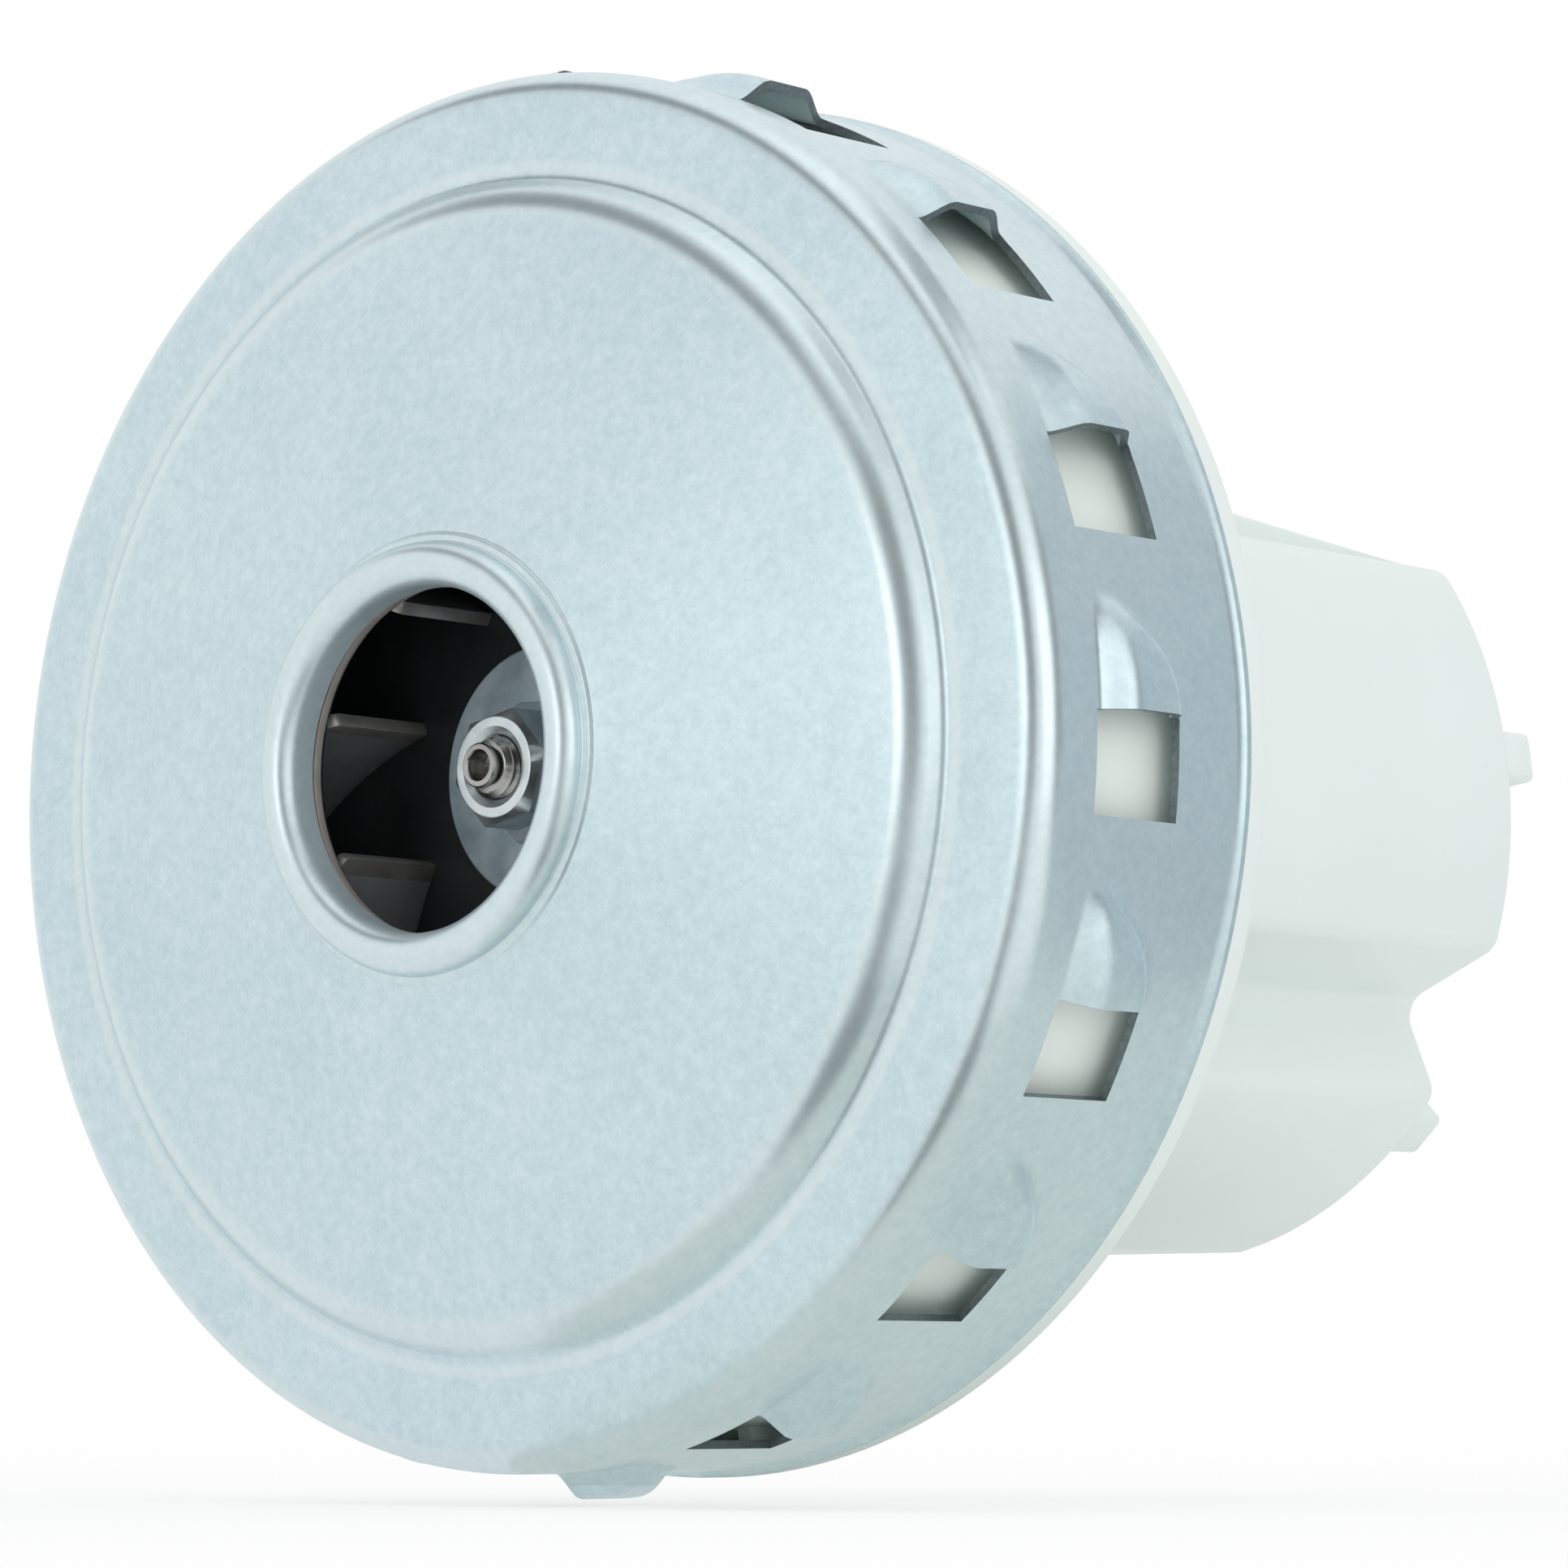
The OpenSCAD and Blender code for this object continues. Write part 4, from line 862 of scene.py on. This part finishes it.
@dataclass
class Impeller:
    """Clamped fan wheel: shroud, blades, back plate, washers, nut and the shaft's threaded end."""

    wheel_r: float = 50.5
    shroud_t: float = 0.9
    collar_r: float = 17.1
    rim_z: float = 29.675
    collar_foot: float = 34.8
    collar_top: float = 36.0
    plate_low: float = 20.3
    plate_t: float = 1.0
    blades: int = 8
    blade_t: float = 1.3
    blade_in: float = 16.4
    blade_out: float = 49.5
    blade_rows: tuple[float, ...] = (0.0, 4.0, 8.0, 11.0, 13.0)
    sweep: float = 46.0
    curve_r: float = 40.0
    turn: float = 28.7
    washer_r: float = 12.0
    washer_t: float = 1.2
    bore_r: float = 3.05
    nut_af: float = 10.0
    nut_h: float = 6.4
    nut_flange_r: float = 7.0
    nut_flange_t: float = 1.4
    nut_turn: float = 12.0

    def under_shroud(self, radius: float) -> float:
        """Height of the shroud's lower face at a radius."""
        slope = (self.collar_foot - self.rim_z) / (self.wheel_r - self.collar_r)
        drop = self.shroud_t / math.cos(math.atan(slope)) + 0.05
        return self.rim_z + slope * (self.wheel_r - radius) - drop

    def build_shroud(self, sheet: Material, bare: Material) -> Piece:
        """Spins the shroud's sheet, with a collar that is rubbed bare."""
        bm = bmesh.new()
        profile(bm, [(self.wheel_r, self.rim_z, 0.0), (self.collar_r, self.collar_foot, 1.0),
                     (self.collar_r, self.collar_top, 0.0)], segments=8)
        spin_round(bm, 180)
        face_out(bm)
        bmesh.ops.solidify(bm, geom=bm.faces[:], thickness=self.shroud_t * MM)
        rims = [e for e in bm.edges if e.calc_face_angle(0.0) > 1.2]
        ease_edges(bm, rims, 0.25, 2)
        for face in bm.faces:
            if -face.calc_center_median().y / MM > self.collar_foot + 0.1:
                face.material_index = 1
        return finish_piece(bm, "impeller_shroud_sheet", Body.ROTOR, [sheet, bare],
                            ["impeller_shroud"])

    def build_blades(self, sheet: Material, edge: Material) -> Piece:
        """Bends each blade round its own centre, trims it to the shroud and shears its leading edge."""
        bm = bmesh.new()
        low = self.plate_low + self.plate_t
        for i in range(self.blades):
            start = i * 360 / self.blades + self.turn
            head = at(self.blade_in, start, low)
            tail = at(self.blade_out, start + self.sweep, low)
            chord = tail - head
            across = Vector((-chord.z, 0.0, chord.x)).normalized()
            rise = math.sqrt((self.curve_r * MM) ** 2 - (chord.length / 2) ** 2)
            centre = (head + tail) / 2 + across * rise
            angle = 2 * math.asin(chord.length / 2 / (self.curve_r * MM))
            part = bmesh.new()
            verts = wire(part, [head + Vector((0.0, -h * MM, 0.0)) for h in self.blade_rows])
            bmesh.ops.spin(part, geom=verts + part.edges[:], cent=centre, axis=SPIN_AXIS, angle=angle,
                           steps=24, use_merge=False, use_duplicate=False)
            for vert in part.verts:
                share = (-vert.co.y / MM - low) / self.blade_rows[-1]
                vert.co.y = -(low + share * (self.under_shroud(radius_of(vert.co)) - low)) * MM
            front = min((v for v in part.verts if len(v.link_faces) == 1), key=lambda v: v.co.y)
            bmesh.ops.bevel(part, geom=[front], offset=1.4 * MM, offset_type="OFFSET", segments=5,
                            profile=0.5, affect="VERTICES", material=-1, clamp_overlap=True)
            bmesh.ops.solidify(part, geom=part.faces[:], thickness=self.blade_t * MM)
            face_out(part)
            rims = [e for e in part.edges if e.calc_face_angle(0.0) > 1.0]
            ease_edges(part, rims, 0.15, 2)
            for face in part.faces:
                inward = -face.calc_center_median() * Vector((1.0, 0.0, 1.0))
                if inward.length < (self.blade_in + 1.5) * MM and face.normal.dot(inward.normalized()) > 0.5:
                    face.material_index = 1
            merge_in(bm, part)
        return finish_piece(bm, "impeller_blade_set", Body.ROTOR, [sheet, edge],
                            ["impeller_blades"])

    def build_disc(self, name: str, node: str, outer: float, low: float, thick: float,
                   material: Material) -> Piece:
        """Spins a flat ring with eased edges.

        Args:
            name: The piece's name.
            node: The frame's node that it replaces.
            outer: Its outer radius.
            low: Height of its rear face.
            thick: Its thickness.
            material: Its material.

        Returns:
            The piece.
        """
        bm = bmesh.new()
        top = low + thick
        ease = 0.3 * thick
        bore = self.bore_r
        profile(bm, [(bore, low, 0.0), (outer, low, ease), (outer, top, ease), (bore + 0.15, top, 0.0),
                     (bore, top - 0.15, 0.0), (bore, low + 0.02, 0.0), (bore, low, 0.0)], segments=3)
        weld(bm)
        spin_round(bm, 128)
        face_out(bm)
        return finish_piece(bm, name, Body.ROTOR, [material], [node])

    def build_nut(self, zinc: Material, bright: Material) -> Piece:
        """Cuts a hexagon's corners with a cone, seats it on its flange and opens the thread's mouth."""
        bm = bmesh.new()
        seat = self.plate_low + self.plate_t + self.washer_t
        top = seat + self.nut_h
        corner = self.nut_af / 2 / math.cos(math.pi / 6)
        flat = self.nut_af / 2
        mouth = self.bore_r + 0.75
        foot = self.nut_flange_r
        profile(bm, [(self.bore_r, seat + 3.0, 0.0), (self.bore_r, top - 0.55, 0.0),
                     (mouth, top - 0.02, 0.0), (flat - 0.35, top, 0.25), (corner, top - 0.9, 0.0),
                     (corner, seat + self.nut_flange_t, 0.0), (foot - 0.2, seat + 0.9, 0.2),
                     (foot, seat + 0.6, 0.2), (foot, seat, 0.0)], segments=3)
        spin_round(bm, 96)
        for vert in bm.verts:
            height = -vert.co.y / MM
            r = radius_of(vert.co)
            if height > seat + self.nut_flange_t - 0.01 and r > mouth + 0.2:
                off = (degrees_of(vert.co) - self.nut_turn) % 60 - 30
                reach = flat / math.cos(math.radians(off))
                if r > reach:
                    vert.co = Vector((vert.co.x * reach / r, vert.co.y, vert.co.z * reach / r))
            elif r > foot - 1:
                dip = 1 - 0.07 * abs(math.sin(math.radians(degrees_of(vert.co) * 5)))
                vert.co = Vector((vert.co.x * dip, vert.co.y, vert.co.z * dip))
        weld(bm)
        face_out(bm)
        # The faces round the top chamfer take the lighter, glossier zinc: a painted highlight
        for face in bm.faces:
            if -face.calc_center_median().y / MM > top - 0.95:
                face.material_index = 1
        return finish_piece(bm, "impeller_nut_hex", Body.ROTOR, [zinc, bright],
                            ["impeller_nut"], sharp=22)

    def build_shaft(self, steel: Material) -> Piece:
        """Turns the shaft in steps and winds the thread round its front end."""
        bm = bmesh.new()
        tip = self.plate_low + self.plate_t + self.washer_t + self.nut_h + 2.0
        core = 2.5
        profile(bm, [(0.0, tip - 2.4, 0.0), (1.3, tip - 2.3, 0.0), (1.4, tip - 0.12, 0.0), (1.5, tip, 0.0),
                     (1.95, tip, 0.1), (2.1, tip - 0.18, 0.0), (2.1, tip - 0.75, 0.1),
                     (1.85, tip - 0.95, 0.0), (1.85, tip - 1.2, 0.0), (core, tip - 1.45, 0.0),
                     (core, 19.3, 0.0), (3.0, 19.2, 0.0), (4.0, 19.1, 0.0), (4.0, 1.0, 0.0), (5.0, 1.0, 0.15),
                     (5.0, -19.0, 0.15), (4.5, -19.0, 0.0), (4.5, -70.3, 0.15), (3.0, -70.3, 0.0),
                     (3.0, -77.3, 0.3), (0.0, -77.3, 0.0)], segments=3)
        spin_round(bm, 64)
        face_out(bm)
        part = bmesh.new()
        pitch = 1.0
        turns = 7.2
        per_turn = 48
        start = tip - 8.6
        line = wire(part, [at(r, 0.0, start + h) for r, h in
                           ((core - 0.1, -0.46), (2.96, -0.08), (2.96, 0.08), (core - 0.1, 0.46))])
        bmesh.ops.spin(part, geom=line + part.edges[:], cent=(0, 0, 0), axis=SPIN_AXIS,
                       angle=2 * math.pi * turns, steps=int(per_turn * turns),
                       dvec=Vector((0.0, -pitch * MM / per_turn, 0.0)), use_duplicate=False)
        face_out(part)
        bmesh.ops.holes_fill(part, edges=part.edges, sides=4)
        merge_in(bm, part)
        return finish_piece(bm, "rotor_shaft_turned", Body.ROTOR, [steel], ["rotor_shaft"])

    def build(self) -> None:
        """Builds every piece of the wheel that the eye shows."""
        sheet = Metal("rolled_fan_sheet", "#BFC4C5", "#A5AAAB", 0.33, 0.7, 9.0, 0.08, 0.55).material()
        # The shroud and back plate get a darker tone than the blades' sheet: painted shade for the deep
        # inside of the wheel
        dark = Metal("fan_sheet_painted_shade", "#4A4E50", "#393D3F", 0.36, 0.7, 9.0, 0.08, 0.65).material()
        bare = Metal("bare_fan_collar", "#D2CAC2", "#BBB1A8", 0.42, 0.5, 4.0, 0.08, 0.55).material()
        edge = Metal("sheared_fan_edge", "#B7B5B0", "#95938E", 0.4, 0.5, 3.0, 0.08, 0.65).material()
        zinc = Metal("zinc_plate_dull", "#CBDCE3", "#9FB4BF", 0.38, 0.5, 3.0, 0.08, 0.35).material()
        # Lighter, glossier zinc for the nut's top chamfer: a painted highlight
        bright = Metal("zinc_plate_painted_highlight", "#DFE6E8", "#C8D2D6", 0.3, 0.4, 2.0, 0.08, 0.8).material()
        self.build_shroud(dark, bare)
        self.build_blades(sheet, edge)
        self.build_disc("impeller_back_disc", "impeller_back_plate", self.wheel_r, self.plate_low,
                        self.plate_t, dark)
        self.build_disc("impeller_front_washer", "impeller_washer_front", self.washer_r,
                        self.plate_low + self.plate_t, self.washer_t, zinc)
        self.build_nut(zinc, bright)
        self.build_shaft(Turned("turned_shaft_steel").material())


@dataclass
class BrushSpring:
    """Coil spring that presses one brush on the commutator."""

    side: str
    outward: int
    wire_r: float = 0.25
    turns: int = 8
    travel: float = 6.1

    def build(self, steel: Material) -> Piece:
        """Winds the wire between the brush and its cap, and gives the spring a mesh of its own.

        Args:
            steel: The wire's material.

        Returns:
            The spring.
        """
        node = f"brush_spring_{self.side}"
        low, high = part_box(node)
        middle = (low + high) / 2
        coil_r = (high.z - low.z) / 2 - self.wire_r * MM
        steps = 24 * self.turns
        rise = (high.x - low.x - 2 * self.wire_r * MM) / steps
        bm = bmesh.new()
        start = Vector((low.x + self.wire_r * MM, middle.y, middle.z + coil_r))
        bmesh.ops.create_circle(bm, segments=10, radius=self.wire_r * MM,
                                matrix=Matrix.Translation(start) @ Matrix.Rotation(math.pi / 2, 4, "X"))
        bmesh.ops.spin(bm, geom=bm.verts[:] + bm.edges[:], cent=middle, axis=(1.0, 0.0, 0.0),
                       dvec=Vector((rise, 0.0, 0.0)), angle=2 * math.pi * self.turns, steps=steps,
                       use_duplicate=False)
        bmesh.ops.holes_fill(bm, edges=bm.edges, sides=10)
        face_out(bm)
        piece = finish_piece(bm, f"{node}_coil", Body.STATIC, [steel], [node], 60)
        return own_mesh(piece)


@dataclass
class InnerWorks:
    """Nodes of the frame that keep their own shape and get a finish."""

    finishes: dict[str, Finish]
    nodes: dict[str, str]

    def dress(self, frame_nodes: dict[str, Piece]) -> None:
        """Gives each listed node its material.

        Args:
            frame_nodes: The frame's objects by node name.
        """
        made = {key: finish.material() for key, finish in self.finishes.items()}
        for node, key in self.nodes.items():
            mesh_object = frame_nodes[node]
            if mesh_object.material_slots:
                mesh_object.material_slots[0].material = made[key]
            else:
                mesh_object.data.materials.append(made[key])
            LOG.info("%s is dressed in %s", node, key)


@dataclass(frozen=True)
class Card:
    """A flat card that only reflections see; sizes in metres. It faces the unit, or lies on the floor."""

    name: str
    place: Triple
    wide: float
    tall: float
    colour: str
    lying: bool = False


# Grey cards tone the steel's side, dark flags draw the thin bands beside the highlights of its bends,
# and the shadow card stands for the unit's shadow on the floor
CARDS = (
    Card("grey_card", (0.75, 0.9, 0.25), 1.5, 1.2, "#BAC2C7"),
    Card("floor_card", (1.02, 1.0, FLOOR_Z + 0.001), 1.9, 1.9, "#B0B8BD", True),
    Card("front_flag", (0.43, -0.94, 0.36), 0.52, 0.87, "#20282D"),
    Card("upper_flag", (-0.45, -0.53, 0.87), 1.2, 0.36, "#39434A"),
    Card("right_flag", (0.98, 0.21, 0.3), 0.42, 0.75, "#39434A"),
    Card("ceiling_card", (0.35, 0.05, 0.9), 1.0, 0.3, "#6A747A"),
    Card("near_flag", (0.0675, -0.115, FLOOR_Z + 0.003), 0.065, 0.09, "#39434A", True),
    Card("far_flag", (0.1425, -0.335, FLOOR_Z + 0.003), 0.115, 0.33, "#20282D", True),
    Card("corner_flag", (0.0, -0.94, 0.81), 0.22, 0.3, "#20282D"),
    Card("shadow_card", (0.07, 0.015, FLOOR_Z + 0.002), 0.14, 0.17, "#DADFDA", True),
)


@dataclass
class Studio:
    """White seamless studio: camera, soft lamps, the floor and the cards that the steel mirrors."""

    place: Triple = (0.39136, -0.44069, -0.05736)
    right: Triple = (0.75664, 0.65383, 0.0)
    up: Triple = (0.06394, -0.07399, 0.99521)
    back: Triple = (0.65069, -0.75302, -0.09779)
    lens: float = 141.81
    room_level: float = 0.93

    def camera(self) -> None:
        """Sets the camera where the photograph was taken from."""
        data = bpy.data.cameras.new("camera")
        data.lens = self.lens
        data.sensor_width = 36.0
        data.clip_start = 0.01
        held = bpy.data.objects.new("camera", data)
        axes = Matrix((self.right, self.up, self.back)).transposed().to_4x4()
        held.matrix_world = Matrix.Translation(self.place) @ axes
        bpy.context.scene.collection.objects.link(held)
        bpy.context.scene.camera = held

    def lamp(self, name: str, place: Triple, size: float, power: float) -> None:
        """Adds a square soft lamp that faces the unit.

        Args:
            name: The lamp's name.
            place: Where it hangs, in metres.
            size: Its side, in metres.
            power: Its power in watts.
        """
        data = bpy.data.lights.new(name, "AREA")
        data.size = size
        data.energy = power
        held = bpy.data.objects.new(name, data)
        held.location = place
        held.rotation_euler = (-Vector(place)).to_track_quat("-Z", "Y").to_euler()
        bpy.context.scene.collection.objects.link(held)

    def seen_white(self, tree: Tree) -> Socket:
        """Share of a surface that is plain white: all of it for camera, glossy and transmission rays."""
        path = add_node(tree, "ShaderNodeLightPath").outputs
        sight = calculate(tree, "MAXIMUM", path["Is Camera Ray"], path["Is Glossy Ray"])
        return calculate(tree, "MAXIMUM", sight, path["Is Transmission Ray"])

    def world(self) -> None:
        """Lights everything evenly, and shows plain white behind the unit."""
        made = bpy.data.worlds.new("white_room")
        tree = empty_tree(made)
        strength = remap(tree, self.seen_white(tree), wanted=(self.room_level, 1.0))
        room = add_node(tree, "ShaderNodeBackground", inputs={"Color": WHITE, "Strength": strength})
        add_node(tree, "ShaderNodeOutputWorld", inputs={"Surface": room.outputs[0]})
        bpy.context.scene.world = made

    def panel(self, name: str, place: Triple, wide: float, tall: float,
              facing: Vector) -> Piece:
        """Adds a flat rectangle that isn't part of the unit.

        Args:
            name: The rectangle's name.
            place: Its centre, in metres.
            wide: Its width, in metres.
            tall: Its height, in metres.
            facing: The way that it faces.

        Returns:
            The rectangle.
        """
        bm = bmesh.new()
        turn = facing.to_track_quat("Z", "Y").to_matrix().to_4x4()
        shape = Matrix.Diagonal((wide / 2, tall / 2, 1.0, 1.0))
        bmesh.ops.create_grid(bm, x_segments=1, y_segments=1, size=1.0,
                              matrix=Matrix.Translation(place) @ turn @ shape)
        mesh = bpy.data.meshes.new(name)
        bm.to_mesh(mesh)
        bm.free()
        made = bpy.data.objects.new(name, mesh)
        bpy.context.scene.collection.objects.link(made)
        return made

    def floor(self) -> None:
        """Lays a white floor that keeps the unit's shadow near it and is plain white far off."""
        made = self.panel("floor", (0.0, 0.0, FLOOR_Z), 6.0, 6.0, Vector(UP))
        material = bpy.data.materials.new("white_floor")
        tree = empty_tree(material)
        where = add_node(tree, "ShaderNodeTexCoord").outputs["Object"]
        away = add_node(tree, "ShaderNodeVectorMath", {"operation": "LENGTH"}, {0: where}).outputs["Value"]
        plain = remap(tree, away, (0.15, 0.8), (0.75, 1.0), eased=True)
        share = calculate(tree, "MULTIPLY", self.seen_white(tree), plain)
        matt = add_node(tree, "ShaderNodeBsdfDiffuse", inputs={"Color": linear("#F6F7F7")})
        glow = add_node(tree, "ShaderNodeEmission", inputs={"Color": WHITE, "Strength": 1.0})
        both = add_node(tree, "ShaderNodeMixShader", inputs={
            0: share, 1: matt.outputs[0], 2: glow.outputs[0]})
        add_node(tree, "ShaderNodeOutputMaterial", inputs={"Surface": both.outputs[0]})
        made.data.materials.append(material)

    def card(self, card: Card) -> None:
        """Sets up a card."""
        facing = Vector(UP) if card.lying else -Vector(card.place)
        made = self.panel(card.name, card.place, card.wide, card.tall, facing)
        material = bpy.data.materials.new(card.name)
        tree = empty_tree(material)
        glow = add_node(tree, "ShaderNodeEmission", inputs={"Color": linear(card.colour), "Strength": 1.0})
        add_node(tree, "ShaderNodeOutputMaterial", inputs={"Surface": glow.outputs[0]})
        made.data.materials.append(material)
        made.visible_camera = False
        made.visible_diffuse = False
        made.visible_shadow = False

    def build(self) -> None:
        """Sets the camera, light, floor and cards."""
        bpy.context.scene.view_settings.view_transform = "Standard"
        self.camera()
        self.world()
        self.floor()
        self.lamp("top_lamp", (0.3, -0.2, 1.2), 1.0, 1.0)
        self.lamp("front_lamp", (0.0, -1.2, 0.2), 0.36, 0.8)
        self.lamp("side_lamp", (1.15, -0.35, 0.2), 0.7, 1.3)
        for card in CARDS:
            self.card(card)


def inner_works() -> InnerWorks:
    """Lists the finishes of the pieces inside and the nodes that they dress."""
    finishes: dict[str, Finish] = {
        "warm_white": Moulded("moulded_diffuser_plastic", "#F5FDF7", "#EDF5EF", 0.5),
        "zinc": Metal("zinc_plate_inner", "#B7C2C9", "#8F9BA4", 0.34, 0.6, 4.0),
        "bearing": Metal("ground_bearing_steel", "#C9CCCF", "#B2B6BA", 0.2, 0.5, 6.0, 0.05),
        "rubber": Moulded("moulded_rubber", "#26272A", "#1D1E20", 0.7, 0.5),
        "black_plastic": Moulded("moulded_black_plastic", "#2C2D30", "#222326", 0.5),
        "laminations": Layered("stacked_laminations", "#8B8E91", "#56595C", 1.0),
        "copper_wire": Layered("enamelled_copper_wire", "#B5622F", "#6E3415", 0.9, (0.3, 0.2, 0.93), 0.3),
        "copper_wire_round": Layered("enamelled_copper_ends", "#B5622F", "#6E3415", 0.9,
                                     (0.7, 0.2, 0.7), 0.3),
        "copper": Metal("turned_copper", "#C98A5E", "#A9673E", 0.25),
        "phenolic": Moulded("moulded_phenolic", "#4A2A1C", "#3A2016", 0.35),
        "brass": Metal("pressed_brass", "#CDB06A", "#B0924E", 0.3),
        "carbon": Moulded("pressed_carbon", "#2B2C2E", "#1F2022", 0.55, 0.4, 0.03),
    }
    nodes = {
        "diffuser_bracket": "warm_white", "impeller_washer_rear": "zinc", "impeller_spacer": "zinc",
        "front_bearing_outer": "bearing", "front_bearing_balls": "bearing", "front_bearing_inner": "bearing",
        "rear_bearing_outer": "bearing", "rear_bearing_balls": "bearing", "rear_bearing_inner": "bearing",
        "rear_bearing_bush": "rubber", "cooling_fan": "black_plastic", "armature_stack": "laminations",
        "armature_winding": "copper_wire_round", "commutator_core": "phenolic", "commutator_bars": "copper",
        "stator_stack": "laminations", "field_coil_left": "copper_wire", "field_coil_right": "copper_wire",
        "stator_screws": "zinc", "bracket_screws": "zinc", "brush_holder_left": "brass",
        "brush_holder_right": "brass", "carbon_brush_left": "carbon", "carbon_brush_right": "carbon",
        "brush_cap_left": "brass", "brush_cap_right": "brass", "terminals": "brass",
    }
    return InnerWorks(finishes, nodes)


def main() -> None:
    """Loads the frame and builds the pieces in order."""
    logging.basicConfig(level=logging.INFO, format="%(name)s: %(message)s")
    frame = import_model()
    Studio().build()
    sheet = GalvanisedSheet("galvanised_sheet_drawn").material()
    FanCover().build(sheet, ShearedEdge("sheared_steel_edge").material())
    MotorHousing().build(Moulded("moulded_white_plastic").material())
    Impeller().build()
    wire_steel = Metal("drawn_spring_wire", "#A9ADB1", "#8B9095", 0.25).material()
    for side, outward in (("left", -1), ("right", 1)):
        BrushSpring(side, outward).build(wire_steel)
    inner_works().dress(frame["nodes"])


if __name__ == "__main__":
    main()
